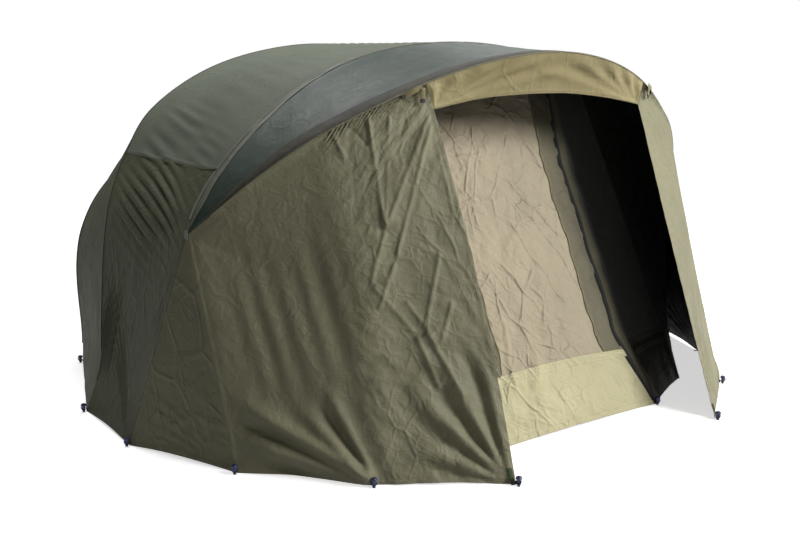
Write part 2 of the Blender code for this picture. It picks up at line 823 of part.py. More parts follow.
def add_pair(name, make, material_name, smooth=False, origin=None, joins=(), cuts=()):
    """The same piece on both sides. make, joins and cuts are functions for the +X side."""
    for side, sign in SIDES:
        where = origin and Vector((origin.x * sign, origin.y, origin.z))
        made = add_object(f"{name}_{side}", flipped(make(), sign), material_name, smooth, where)
        for tool in joins:
            boolean(made, flipped(tool(), sign), "UNION")
        for tool in cuts:
            boolean(made, flipped(tool(), sign))


# Frame


def tongue_path(rib, tongue_x, flat, neck):
    """The +X half of a rib whose end is a flat tongue past the axis."""
    pivot = Vector((tongue_x, rib.axis.y, rib.axis.z))
    first, second = rib.points[:2]
    share = neck / (second - rib.axis).dot(rib.up)
    natural = mix(first, second, share)
    kept = [point for point in rib.points[1:len(rib.points) // 2 + 1]
            if (point - pivot).dot(rib.up) > neck + flat]
    return [pivot - rib.up * TONGUE_OVERRUN, pivot + rib.up * flat, natural] + kept


def add_turning_rib(name, rib, tongue_x, flat, neck):
    half_path = tongue_path(rib, tongue_x, flat, neck)
    path = half_path + mirrored(reversed(half_path[:-1]))
    tongue = (TONGUE_HALF_WIDTH / TUBE_RADIUS, TONGUE_THICKNESS / 2 / TUBE_RADIUS)
    flats = {index % len(path): tongue for index in (0, 1, -2, -1)}
    made = add_object(name, tube_mesh(path, TUBE_RADIUS, X_AXIS.cross(rib.up), flats),
                      "frame_tube", smooth=True, origin=rib.axis)
    for _, sign in SIDES:
        pivot = Vector((sign * tongue_x, rib.axis.y, rib.axis.z))
        boolean(made, hole_mesh(pivot, TONGUE_THICKNESS, BOLT_RADIUS))


def hole_mesh(centre, reach, radius):
    """A cutter along X that leaves the fit gap about a round piece."""
    corner_radius = (radius + FIT_GAP) / math.cos(math.pi / BOLT_SIDES)
    return turned_mesh(((-reach, corner_radius), (reach, corner_radius)), centre, X_AXIS,
                       BOLT_SIDES)


def add_middle_rib(rib):
    pivot = Vector((HUB_BLOCK_X, rib.axis.y, rib.axis.z))
    kept = [point for point in rib.points[1:len(rib.points) // 2 + 1]
            if (point - pivot).dot(rib.up) > PLUG_JOIN]
    half_path = [pivot + rib.up * SOCKET_START, pivot + rib.up * SOCKET_STRAIGHT] + kept
    path = half_path + mirrored(reversed(half_path[:-1]))
    add_object("middle_rib", tube_mesh(path, TUBE_RADIUS, X_AXIS.cross(rib.up)), "frame_tube",
               smooth=True)


def leg_path():
    hub = place(HUB_BLOCK_X, HUB_DEPTH, HUB_HEIGHT)
    foot = place(LEG_FOOT_X, REAR_RIB_DEPTH)
    down = (foot - hub) * Vector((0, 1, 1))
    down.normalize()
    return [hub + down * SOCKET_START, hub + down * SOCKET_STRAIGHT,
            foot + Z_AXIS * LEG_FOOT_STRAIGHT, foot]


def add_hubs(ribs):
    hub = place(HUB_BLOCK_X, HUB_DEPTH, HUB_HEIGHT)
    half_size = Vector((HUB_BLOCK_WIDTH, HUB_BLOCK_DEPTH, HUB_BLOCK_HEIGHT)) / 2
    leg = leg_path()
    leg_down = (leg[1] - leg[0]).normalized()

    def socket(direction):
        return lambda: tube_mesh([hub + direction * (SOCKET_START - FIT_GAP),
                                  hub + direction * SOCKET_STRAIGHT],
                                 TUBE_RADIUS + SOCKET_GAP, X_AXIS.cross(direction))

    add_pair("hub_block", lambda: box_mesh(hub - half_size, hub + half_size, HUB_BLOCK_BEVEL),
             "hub_plastic",
             cuts=(socket(ribs["middle"].up), socket(leg_down),
                   lambda: hole_mesh(hub, HUB_BLOCK_WIDTH, BOLT_RADIUS)))
    inside = -HUB_BLOCK_WIDTH / 2 - FIT_GAP
    outside = HUB_BLOCK_WIDTH / 2 + TONGUE_THICKNESS + FIT_GAP * 2
    profile = ((inside - BOLT_HEAD_HEIGHT, BOLT_HEAD_RADIUS), (inside, BOLT_HEAD_RADIUS),
               (inside, BOLT_RADIUS), (outside, BOLT_RADIUS), (outside, BOLT_HEAD_RADIUS),
               (outside + BOLT_HEAD_HEIGHT, BOLT_HEAD_RADIUS))
    add_pair("hub_bolt", lambda: turned_mesh(profile, hub, X_AXIS, BOLT_SIDES), "bolt_steel")
    add_pair("leg", lambda: tube_mesh(leg, TUBE_RADIUS, X_AXIS.cross(leg_down)), "frame_tube",
             smooth=True)


def add_foot_blocks(name, rib, tongue_x):
    face = tongue_x - TONGUE_THICKNESS / 2 - FIT_GAP
    low = Vector((face - FOOT_WIDTH, rib.axis.y - FOOT_FRONT, 0))
    high = Vector((face, rib.axis.y + FOOT_BEHIND, FOOT_HEIGHT))
    stud = ((-FOOT_WIDTH / 2, STUD_RADIUS), (TONGUE_THICKNESS + FIT_GAP + STUD_END, STUD_RADIUS))
    centre = Vector((face, rib.axis.y, rib.axis.z))
    add_pair(name, lambda: box_mesh(low, high, FOOT_BEVEL), "hub_plastic",
             joins=(lambda: turned_mesh(stud, centre, X_AXIS, BOLT_SIDES),))


def add_struts(ribs):
    def seat(rib, station):
        first, second = rib.points[station:station + 2]
        return (first + second) / 2, (first - second).normalized()

    middle, middle_axis = seat(ribs["middle"], STRUT_MIDDLE_STATION)
    rear, rear_axis = seat(ribs["rear"], STRUT_REAR_STATION)
    run = (rear - middle).normalized()
    inner_radius = TUBE_RADIUS + FIT_GAP
    radii = (inner_radius, inner_radius + STRUT_WALL)
    drop = inner_radius + STRUT_SINK + STRUT_RADIUS
    down_middle = run.cross(middle_axis).normalized()
    down_rear = run.cross(rear_axis).normalized()
    back = down_rear.cross(rear_axis)
    back *= 1 if back.dot(run) > 0 else -1
    hook_middle = down_rear * math.cos(HOOK_LEAN) + back * math.sin(HOOK_LEAN)
    path = [middle + down_middle * drop - run * STRUT_END,
            rear + down_rear * drop + run * STRUT_END]
    add_pair("strut", lambda: tube_mesh(path, STRUT_RADIUS, middle_axis), "frame_tube",
             smooth=True, origin=middle,
             joins=(lambda: arc_mesh(middle, middle_axis, down_middle, CLIP_TURN, radii,
                                     STRUT_RING_WIDTH),
                    lambda: arc_mesh(rear, rear_axis, hook_middle, HOOK_TURN, radii,
                                     STRUT_RING_WIDTH)))


# Zip sliders, ties, pegs, groundsheet


def oriented_box(centre, axes, size, bevel=0.0):
    """A box about a centre, with its sides along three given directions."""
    solid = box_mesh(size / -2, size / 2, bevel)
    turn = Matrix([[axes[column][row] for column in range(3)] for row in range(3)]).to_4x4()
    bmesh.ops.transform(solid, matrix=Matrix.Translation(centre) @ turn, verts=solid.verts)
    return solid


def add_zip_sliders():
    low = place(ZIP_HALF, ZIP_LOW_DEPTH, ZIP_LOW_HEIGHT)
    high = place(ZIP_HALF, ZIP_HIGH_DEPTH, ZIP_HIGH_HEIGHT)
    along = (high - low).normalized()
    out = along.cross(X_AXIS)
    out *= -1 if out.y > 0 else 1
    centre = mix(low, high, SLIDER_START_SHARE) + out * SLIDER_STANDOFF
    axes = (X_AXIS, along, out)
    pull_centre = (centre - along * (SLIDER_LENGTH + PULL_LENGTH) / 2
                   + along * SLIDER_LENGTH / 4)
    add_pair("zip_slider",
             lambda: oriented_box(centre, axes,
                                  Vector((SLIDER_WIDTH, SLIDER_LENGTH, SLIDER_THICKNESS))),
             "zip_metal", origin=centre,
             joins=(lambda: oriented_box(pull_centre, axes,
                                         Vector((PULL_WIDTH, PULL_LENGTH, PULL_THICKNESS))),))


def add_ties(porch):
    """A tab on each porch side, whose top edge lies near the front rib."""
    top, below = (mix(*porch[row][TIE_COLUMN:TIE_COLUMN + 2], 0.5) for row in (-1, -2))
    across = (porch[-1][TIE_COLUMN] - top).normalized()
    down = (below - top).normalized()
    out = across.cross(down).normalized()
    out *= -1 if out.y > 0 else 1
    down = out.cross(across)
    down *= 1 if down.z < 0 else -1
    pivot = top + down * TIE_DROP + out * TIE_STANDOFF
    axes = (across, down, out)
    tab_size = Vector((TIE_WIDTH, TIE_LENGTH, TIE_THICKNESS))
    knob_size = Vector((TIE_WIDTH, TIE_KNOB, TIE_KNOB))
    knob = pivot + down * TIE_LENGTH + out * (TIE_KNOB - TIE_THICKNESS) / 2
    add_pair("tie", lambda: oriented_box(pivot + down * TIE_LENGTH / 2, axes, tab_size),
             "hub_plastic", origin=pivot, joins=(lambda: oriented_box(knob, axes, knob_size),))


def add_pegs():
    profile = ((0, PEG_HEAD_RADIUS), (PEG_PLATE_HEIGHT, PEG_HEAD_RADIUS),
               (PEG_PLATE_HEIGHT, PEG_SHANK_RADIUS), (PEG_HEAD_HEIGHT, PEG_SHANK_RADIUS),
               (PEG_HEAD_HEIGHT, PEG_HEAD_RADIUS), (PEG_HEIGHT, PEG_HEAD_RADIUS * PEG_TOP_SHARE))
    reach = PEG_HEAD_RADIUS * math.cos(math.pi / PEG_SIDES) + CLOTH / 2 + PEG_GAP
    corners = list(WRAP_CORNERS.items()) + [("inner_door", INNER_CORNERS["door"])]
    for name, (half, depth) in corners:
        turn = math.radians(PEG_BEARINGS[name])
        away = Vector((math.sin(turn), -math.cos(turn), 0))
        centre = place(half, depth) + away * reach
        add_pair(f"peg_{name}",
                 lambda: turned_mesh(profile, centre, Z_AXIS, PEG_SIDES, flat_to=away),
                 "peg_plastic")


def add_groundsheet():
    side = [place(*corner) for corner in GROUNDSHEET_FRONT + GROUNDSHEET_REAR]
    outline = side + mirrored(reversed(side))
    solid = bmesh.new()
    layers = [[solid.verts.new(point + Z_AXIS * height) for point in outline]
              for height in (0, GROUNDSHEET_THICKNESS)]
    close_rings(solid, layers)
    add_object("groundsheet", solid, "sheet_cloth")


# The whole tent


def main():
    for existing in list(bpy.data.objects):
        bpy.data.objects.remove(existing)
    ribs = make_ribs()
    hub_tongue_x = HUB_BLOCK_X + (HUB_BLOCK_WIDTH + TONGUE_THICKNESS) / 2 + FIT_GAP
    rear_tongue_x = REAR_RIB_HALF - REAR_TONGUE_SHIFT
    back_tongue_x = BACK_RIB_HALF - BACK_TONGUE_SHIFT
    add_hubs(ribs)
    add_middle_rib(ribs["middle"])
    add_turning_rib("front_rib", ribs["front"], hub_tongue_x, HUB_TONGUE_FLAT, HUB_TONGUE_NECK)
    add_turning_rib("rear_rib", ribs["rear"], rear_tongue_x, FOOT_TONGUE_FLAT, FOOT_TONGUE_NECK)
    add_turning_rib("back_rib", ribs["back"], back_tongue_x, FOOT_TONGUE_FLAT, FOOT_TONGUE_NECK)
    add_foot_blocks("rear_foot", ribs["rear"], rear_tongue_x)
    add_foot_blocks("back_foot", ribs["back"], back_tongue_x)
    add_struts(ribs)

    outer = wrap_grids(ribs)
    add_sheets(outer, {"wrap_roof_front": "roof_cloth", "wrap_roof_rear": "roof_cloth",
                       "wrap_header": "header_cloth", "others": "wrap_cloth"},
               {"wrap_roof_front": (0, -1), "wrap_rear_wall": (0, -1),
                "wrap_gusset_left": (-1,), "wrap_gusset_right": (-1,),
                "wrap_side_front_left": (-1,), "wrap_side_front_right": (-1,)}, [])
    hub = place(HUB_INNER_X, HUB_DEPTH, HUB_HEIGHT)
    crease = [place(*INNER_CORNERS["side"]), hub]
    inner = add_sheets(inner_grids(ribs), {"inner_wing_left": "window_cloth",
                                           "inner_wing_right": "window_cloth",
                                           "others": "inner_cloth"}, {},
                       [crease, mirrored(crease)])
    for name in ("inner_skin", "inner_wing_left", "inner_wing_right"):
        for _, sign in SIDES:
            if name.endswith("skin") or name.endswith("right") == (sign > 0):
                boolean(inner[name], hub_cutter(sign))
    add_zip_sliders()
    add_ties(outer["wrap_porch_right"])
    add_pegs()
    add_groundsheet()


def hub_cutter(sign):
    centre = Vector((0, HUB_DEPTH - MIDDLE_DEPTH, HUB_HEIGHT))
    return flipped(turned_mesh(((HUB_CUTOUT_INSIDE, HUB_CUTOUT_RADIUS),
                                (HUB_CUTOUT_OUTSIDE, HUB_CUTOUT_RADIUS)), centre, X_AXIS,
                               BOLT_SIDES), sign)


main()
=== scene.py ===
# Looks of the two-person bivvy tent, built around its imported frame.
# Metres, +Z up, the door faces -Y. Left is -X.

import math
from types import SimpleNamespace

import bmesh
import bpy
import numpy as np
from mathutils import Euler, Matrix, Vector


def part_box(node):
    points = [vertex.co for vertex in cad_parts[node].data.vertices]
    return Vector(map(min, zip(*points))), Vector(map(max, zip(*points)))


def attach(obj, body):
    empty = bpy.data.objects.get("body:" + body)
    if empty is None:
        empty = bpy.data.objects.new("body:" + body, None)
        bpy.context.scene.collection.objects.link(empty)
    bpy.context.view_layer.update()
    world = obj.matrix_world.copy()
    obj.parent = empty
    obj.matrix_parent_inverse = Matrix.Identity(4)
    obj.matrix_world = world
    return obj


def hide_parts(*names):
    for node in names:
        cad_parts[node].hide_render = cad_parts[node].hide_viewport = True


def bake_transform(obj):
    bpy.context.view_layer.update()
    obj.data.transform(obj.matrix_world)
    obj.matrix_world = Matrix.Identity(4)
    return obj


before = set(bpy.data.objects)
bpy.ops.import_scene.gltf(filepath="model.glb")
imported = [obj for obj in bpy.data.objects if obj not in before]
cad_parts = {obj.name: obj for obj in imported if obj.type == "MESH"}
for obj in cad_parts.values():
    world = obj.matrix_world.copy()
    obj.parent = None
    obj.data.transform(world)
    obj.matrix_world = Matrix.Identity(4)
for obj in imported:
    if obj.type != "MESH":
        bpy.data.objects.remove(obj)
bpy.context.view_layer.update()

# Plan of the tent: the same values as its frame and skins
MIDDLE_DEPTH = 1.37
HUB_DEPTH, HUB_HEIGHT = 0.932, 0.820
RIB_AXIS_HEIGHT = 0.024
REAR_DEPTH, BACK_DEPTH = 1.583, 2.266
REAR_TOP_HEIGHT, BACK_TOP_HEIGHT = 1.530, 1.202
SIDE_SEAM_HEIGHT = 1.030
# For each rib: depth and height of its axis, half its width, depth and height of its top, its
# curve as shares across and along, the seams that cross it, and the steps between them
RIBS = {
    "middle": (HUB_DEPTH, HUB_HEIGHT, 1.300, 1.018, 1.503,
               ((1, 0), (0.965, 0.14), (0.90, 0.30), (0.80, 0.485), (0.65, 0.695),
                (0.50, 0.84), (0.33, 0.935), (0.16, 0.985), (0, 1)),
               (("z", SIDE_SEAM_HEIGHT), ("x", 0.666), ("x", 0.455)), (3, 5, 3, 5)),
    "front": (HUB_DEPTH, HUB_HEIGHT, 1.306, 0.420, 1.459,
              ((1, 0), (0.95, 0.11), (0.85, 0.32), (0.74, 0.50), (0.63, 0.63),
               (0.50, 0.765), (0.38, 0.865), (0.25, 0.94), (0.12, 0.985), (0, 1)),
              (("x", 0.830), ("x", 0.570)), (6, 5, 5)),
    "rear": (REAR_DEPTH, RIB_AXIS_HEIGHT, 1.512, 2.192, REAR_TOP_HEIGHT,
             ((0.986, 0), (0.94, 0.10), (0.915, 0.22), (0.874, 0.40), (0.83, 0.535),
              (0.763, 0.655), (0.66, 0.785), (0.47, 0.90), (0.25, 0.97), (0, 1)),
             (("z", SIDE_SEAM_HEIGHT),), (8, 13)),
    "back": (BACK_DEPTH, RIB_AXIS_HEIGHT, 1.318, 2.480, BACK_TOP_HEIGHT,
             ((1, 0), (0.99, 0.12), (0.987, 0.30), (0.975, 0.42), (0.945, 0.53),
              (0.88, 0.65), (0.775, 0.76), (0.60, 0.87), (0.35, 0.96), (0, 1)),
             (("z", SIDE_SEAM_HEIGHT * BACK_TOP_HEIGHT / REAR_TOP_HEIGHT),), (8, 13)),
}
WRAP_CORNERS = {
    "porch_front": (0.548, 0.000), "porch_back": (0.952, 0.274),
    "side_front": (1.292, 0.648), "side_middle": (1.514, 1.116),
    "side_rear": (1.533, 1.583), "back_corner": (1.337, 2.280), "rear": (0.480, 2.740),
}
INNER_CORNERS = {"door": (0.486, 0.262), "ridge": (0.860, 0.430), "side": (1.400, 0.950),
                 "rear_foot": (1.5245, 1.583), "back_foot": (1.3275, 2.2755),
                 "rear": (0.440, 2.660)}
# Which way each peg's hook faces on the right side, in degrees from the door's side
PEG_BEARINGS = {"porch_front": 0, "porch_back": 45, "side_front": 55, "side_middle": 75,
                "side_rear": 90, "back_corner": 120, "rear": 180, "inner_door": 20}
HEADER_CORNER = (0.546, 0.490, 1.266)
HEADER_ARCH = 0.053
HEM_LIFT = 0.010
# How far the cloth stands off a rib's centre line, and how far before or behind it
WRAP_OFFSET, FRONT_OFFSET, BACK_OFFSET = 0.0200, 0.0140, 0.0185
MIDDLE_INNER_OFFSET, REAR_INNER_OFFSET, BACK_INNER_OFFSET = 0.0112, 0.0125, 0.0105
LEAD, BACK_LAG = 0.0125, 0.0095
CLOTH = 0.0010

K = 8  # points for each step of a rib
SEAM_AT, REAR_AT = 3 * K, 8 * K  # the side seam on the middle rib and on the rear rib
RIDGE_AT, HEADER_AT = 42, 11 * K  # the front side's ridge and the header on the front rib
WINDOW_AT, DOOR_AT = 8 * K, 11 * K  # the window and the door on the middle rib

# How far up a rib the laws of the cloth reach the rib's full motion, with less of it lower down
FRONT_GRIP, REAR_GRIP, BACK_GRIP = 0.58, 1.00, 0.36

# Camera: solved from the photograph's own straight lines and mirrored pairs
CAMERA_PLACE = (-2.608, -3.589, 1.38)
CAMERA_TURN = (math.radians(78.48), 0.0, math.radians(-35.26))
LENS, SENSOR = 42.0, 36.0
IMAGE = (800, 533)

FLIP = np.array([-1.0, 1.0, 1.0])
X_AXIS, Y_AXIS, Z_AXIS = np.eye(3)
HEART = np.array([0.0, 0.213, 0.515])
SIDES = (("left", -1), ("right", 1))


def at(half, depth, height=0.0):
    return np.array([half, depth - MIDDLE_DEPTH, height], float)


def unit(vectors):
    length = np.linalg.norm(vectors, axis=-1, keepdims=True)
    return vectors / np.maximum(length, 1e-12)


def smooth(value):
    value = np.clip(value, 0, 1)
    return value * value * (3 - 2 * value)


def sided(points, sign):
    return np.asarray(points) * (FLIP if sign < 0 else 1)


def circle(sides):
    return np.linspace(0, 2 * math.pi, sides, endpoint=False)


# Noise, the same at each run


def hashed(column, row, seed):
    number = (column.astype(np.int64) * 374761393 + row.astype(np.int64) * 668265263
              + seed * 1442695041) & 0xFFFFFFFF
    number = ((number ^ (number >> 13)) * 1274126177) & 0xFFFFFFFF
    return ((number ^ (number >> 16)) & 0xFFFF) / 65535.0


def noise(x, y, seed):
    """Smooth value noise from -1 to 1, one lump for each unit."""
    x, y = np.broadcast_arrays(np.asarray(x, float), np.asarray(y, float))
    column, row = np.floor(x), np.floor(y)
    across, up = smooth(x - column), smooth(y - row)
    low, high = (hashed(column, level, seed) * (1 - across)
                 + hashed(column + 1, level, seed) * across for level in (row, row + 1))
    return 2 * (low * (1 - up) + high * up) - 1


def wander(run, lumps, seed):
    """Noise along a line, with so many lumps for each unit of the run."""
    return noise(run * lumps, run * 0, seed)


# Curves


def lengths(points):
    return np.concatenate([[0.0], np.cumsum(np.linalg.norm(np.diff(points, axis=0), axis=1))])


def resampled(points, distances):
    totals = lengths(points)
    return np.stack([np.interp(distances, totals, points[:, axis]) for axis in range(3)], axis=1)


def line(points, steps):
    """Equal steps along a polyline, ends included."""
    points = np.asarray(points, float)
    return resampled(points, np.linspace(0, lengths(points)[-1], steps + 1))


def along_edge(edge, share):
    """Places at shares of an edge, counted by its points."""
    index = np.asarray(share) * (len(edge) - 1)
    return np.stack([np.interp(index, np.arange(len(edge)), edge[:, axis])
                     for axis in range(3)], axis=1)


def tip(place, points=9):
    """An edge without length, where a sheet is drawn to one place."""
    return np.tile(place, (points, 1))


def spline(points, per_span):
    """A Catmull-Rom curve through the points."""
    p = np.asarray(points, float)
    ends = np.vstack([2 * p[:1] - p[1:2], p, 2 * p[-1:] - p[-2:-1]])
    t = (np.arange(per_span) / per_span)[None, :, None]
    count = len(ends) - 3
    before, start, end, after = (ends[i:count + i][:, None] for i in range(4))
    fine = 0.5 * (2 * start + (end - before) * t
                  + (2 * before - 5 * start + 4 * end - after) * t ** 2
                  + (3 * start - before - 3 * end + after) * t ** 3)
    return np.vstack([fine.reshape(-1, 3), p[-1:]])


def rib_line(name):
    """A rib's centre line, and the direction in which it rises."""
    depth, height, half, top_depth, top_height, shares, stations, steps = RIBS[name]
    axis = at(0, depth, height)
    rise = at(0, top_depth, top_height) - axis
    half_points = [axis + X_AXIS * half * across + rise * along for across, along in shares]
    fine = spline(half_points + [point * FLIP for point in reversed(half_points[:-1])], 16)
    first = fine[:len(fine) // 2 + 1]
    totals = lengths(first)
    marks = [0.0]
    for kind, value in stations:
        if kind == "z":
            marks.append(float(np.interp(value, first[:, 2], totals)))
        else:
            marks.append(float(np.interp(-value, -first[:, 0], totals)))
    marks.append(totals[-1])
    distances = np.concatenate([[0.0]] + [np.linspace(low, high, count * K + 1)[1:]
                                          for low, high, count in zip(marks, marks[1:], steps)])
    run = resampled(first, distances)
    run[-1, 0] = 0
    return np.vstack([run, run[-2::-1] * FLIP]), unit(rise)


def foot_fade(count):
    """From one at the first point to nothing a step of the rib further up."""
    return np.clip(1 - np.arange(count) / K, 0, 1)[:, None]


def seam(name, offset, lead, end):
    """A rib's line moved outward and forward, drawn to a given end at both feet."""
    points, up = rib_line(name)
    tangent = unit(np.gradient(points, axis=0))
    across, along = tangent @ X_AXIS, tangent @ up
    outward = X_AXIS * along[:, None] - up * across[:, None]
    moved = points + outward * offset - Y_AXIS * lead
    share = foot_fade(len(points))
    moved = moved + share * (end - moved[0])
    return moved + share[::-1] * (end * FLIP - moved[-1])


def hem(first, second, steps=40):
    share = np.linspace(0, 1, steps + 1)[:, None]
    return first + (second - first) * share + Z_AXIS * HEM_LIFT * np.sin(math.pi * share)


CORNER = {name: at(*values) for name, values in WRAP_CORNERS.items()}
INNER = {name: at(*values) for name, values in INNER_CORNERS.items()}
HEADER_END = at(*HEADER_CORNER)
HUB, HUB_INNER = (at(half, HUB_DEPTH, HUB_HEIGHT) for half in (1.320, 1.306))
FRONT = seam("front", FRONT_OFFSET, LEAD, HUB)
# What the two skins share: their lines along the ribs and their corners on the ground
WRAP = SimpleNamespace(
    middle=seam("middle", WRAP_OFFSET, LEAD, HUB),
    rear=seam("rear", WRAP_OFFSET, 0.0, CORNER["side_rear"]),
    back=seam("back", BACK_OFFSET, -BACK_LAG, CORNER["back_corner"]),
    hub=HUB, side_foot=CORNER["side_middle"], rear_foot=CORNER["side_rear"],
    back_foot=CORNER["back_corner"], hem_corner=CORNER["rear"], leg_steps=5 * K)
SKIN = SimpleNamespace(
    middle=seam("middle", MIDDLE_INNER_OFFSET, LEAD, HUB_INNER),
    rear=seam("rear", REAR_INNER_OFFSET, 0.0, INNER["rear_foot"]),
    back=seam("back", BACK_INNER_OFFSET, -BACK_LAG, INNER["back_foot"]),
    hub=HUB_INNER, side_foot=INNER["side"], hem_corner=INNER["rear"], leg_steps=20)
SKIN.rear_foot, SKIN.back_foot = SKIN.rear[0], SKIN.back[0]
MIDDLE, REAR, BACK = WRAP.middle, WRAP.rear, WRAP.back

# The camera's own view, to find places on the cloth by the photograph's pixels
TURN = np.array(Euler(CAMERA_TURN).to_matrix())
FOCAL = LENS / SENSOR * IMAGE[0]


def pixels(points):
    local = (np.asarray(points) - np.array(CAMERA_PLACE)) @ TURN
    return np.stack([IMAGE[0] / 2 + FOCAL * local[..., 0] / -local[..., 2],
                     IMAGE[1] / 2 - FOCAL * local[..., 1] / -local[..., 2]], axis=-1)


# Sheets of cloth

EDGE_LEVELS = (0.003, 0.006, 0.012, 0.015)  # where the raised edge of a sheet turns
EDGE_RISE = 0.0007


class Sheet:
    """A grid of cloth, with folds that stand off it."""

    def __init__(self, name, points, u, v, sewn="btse", banded="btse"):
        self.name, self.points, self.u, self.v = name, points, u, v
        self.sewn, self.banded, self.creased = sewn, banded, 1.0
        self.measure()

    def measure(self):
        """Normals, and distances in metres along the cloth and from its edges."""
        p = self.points
        normal = np.cross(np.gradient(p, axis=1), np.gradient(p, axis=0))
        sign = np.sign(np.sum(normal * (p - HEART)))
        self.turned = sign < 0
        flat = np.linalg.norm(normal, axis=-1) < 1e-12
        normal = unit(normal) * sign
        for row in np.where(flat.all(axis=1))[0]:
            normal[row] = normal[row + 1 if row == 0 else row - 1]
        for column in np.where(flat.all(axis=0))[0]:
            normal[:, column] = normal[:, column + 1 if column == 0 else column - 1]
        self.normal = normal
        steps_u = np.linalg.norm(np.diff(p, axis=1), axis=-1)
        steps_v = np.linalg.norm(np.diff(p, axis=0), axis=-1)
        zero_u, zero_v = np.zeros((p.shape[0], 1)), np.zeros((1, p.shape[1]))
        self.x = np.hstack([zero_u, np.cumsum(steps_u, axis=1)])
        self.y = np.vstack([zero_v, np.cumsum(steps_v, axis=0)])
        self.gap = {"s": self.x, "e": self.x[:, -1:] - self.x,
                    "b": self.y, "t": self.y[-1:] - self.y}

    def near(self, edges):
        """Distance to the nearest of the named edges."""
        return np.min([self.gap[edge] for edge in edges], axis=0) if edges else (
            np.full(self.x.shape, 1.0))

    def push(self, height, fade=0.05):
        """Moves the cloth out by a height that dies away towards the sewn edges."""
        if fade:
            height = height * smooth(self.near(self.sewn) / fade)
        self.points = self.points + self.normal * height[..., None]

    def billow(self, height, across, up, seed, fade):
        """Pushes wide soft lumps, so many for each metre across and up."""
        self.push(height * noise(self.x * across, self.y * up, seed), fade)

    def pixel(self, x, y):
        """The place on the sheet that the camera sees at a pixel."""
        away = np.linalg.norm(pixels(self.points) - np.array([x, y]), axis=-1)
        return self.points[np.unravel_index(np.argmin(away), away.shape)].copy()

    def axes(self, start, end):
        """The way from one place to another, and the way across it on the cloth."""
        facing = unit(self.normal.reshape(-1, 3).mean(axis=0))
        forward = unit(end - start)
        return forward, unit(np.cross(facing, forward))

    def fold(self, start, end, width, height, flare=0.0, ends=(0.10, 0.30), power=2.0):
        """A ridge between two places, or a valley where the height is negative."""
        run = end - start
        away = self.points - start
        share = away @ run / (run @ run)
        off = np.linalg.norm(away - share[..., None] * run, axis=-1)
        wide = width * (1 + flare * np.clip(share, 0, 1))
        taper = smooth(share / ends[0]) * smooth((1 - share) / ends[1])
        return height * taper * np.exp(-(off / wide) ** power)

    def fan(self, apex, toward, spread_angle, count, reach, height, seed, start=0.05):
        """Folds that run out of one corner."""
        forward, side = self.axes(apex, toward)
        away = self.points - apex
        far = np.linalg.norm(away, axis=-1)
        angle = np.arctan2(away @ side, away @ forward) / spread_angle
        wobble = 0.30 * noise(angle * count * 0.6, far * 4, seed)
        wave = np.cos(2 * math.pi * (angle * count + wobble))
        each = 0.55 + 0.45 * noise(angle * count * 0.9, far * 1.2, seed + 5)
        grow = np.minimum(1, far * spread_angle / count / 0.045)
        window = np.exp(-(np.abs(angle) / 0.5) ** 4)
        return (height * wave * each * grow * window
                * smooth(far / start) * np.exp(-(far / reach) ** 2))

    def strain(self, start, end, pitch, height, seed, reach, slim=8.0):
        """Tension wrinkles side by side, each running from one place towards another."""
        forward, side = self.axes(start, end)
        away = self.points - (start + end) / 2
        across, along = away @ side, away @ forward
        bow = 0.22 * noise(along / (pitch * slim), across / (pitch * 3), seed)
        wave = np.cos(2 * math.pi * (across / pitch + bow))
        each = 0.55 + 0.45 * noise(across / pitch * 0.8, along / (pitch * slim), seed + 1)
        half = np.linalg.norm(end - start) / 2
        near = np.exp(-(np.abs(across) / reach) ** 4 - (np.abs(along) / half) ** 3)
        return height * wave * each * near

    def strains(self, spots, sign, rows):
        """Pushes wrinkles between pairs of places: pitch, height, seed, reach, slim, fade."""
        for start, end, (pitch, height, seed, reach, slim, fade) in zip(
                spots[::2], spots[1::2], rows):
            self.push(self.strain(start, end, pitch, height, seed + sign, reach, slim), fade)

    def creases(self, size, height, seed, count=9):
        """Creases of packed cloth: straight folds in many directions, each on a part of it."""
        picks = np.random.default_rng(seed)
        x, y = self.x / size, self.y / size
        total = np.zeros_like(x)
        for index in range(count):
            turn = (picks.random() - 0.5) * math.pi
            wave = size * (0.45 + 1.25 * picks.random())
            warp = 0.30 * noise(x * 0.7, y * 0.7, seed + index)
            phase = ((self.x * math.cos(turn) + self.y * math.sin(turn)) / wave + warp
                     + picks.random())
            fold = 1 - 2 * np.abs(2 * (phase - np.floor(phase + 0.5)))
            sharp = np.sign(fold) * np.abs(fold) ** 1.4
            shift = picks.random() * 20
            mask = smooth(0.5 + 1.3 * noise(x / 1.6 + shift, y / 1.6, seed + 40 + index))
            total += sharp * mask * wave / size
        return height * (total / math.sqrt(count))

    def place(self, u, v, out=0.0):
        """Places by shares across and up, standing off the cloth."""
        found = []
        for share, known in ((u, self.u[0]), (v, self.v[:, 0])):
            index = np.interp(np.atleast_1d(share), known, np.arange(len(known)))
            low = np.minimum(index.astype(int), len(known) - 2)
            found += [low, (index - low)[:, None]]
        column, a, row, b = found
        points, normal = ((field[row, column] * (1 - a) + field[row, column + 1] * a) * (1 - b)
                          + (field[row + 1, column] * (1 - a) + field[row + 1, column + 1] * a) * b
                          for field in (self.points, self.normal))
        return points + unit(normal) * out

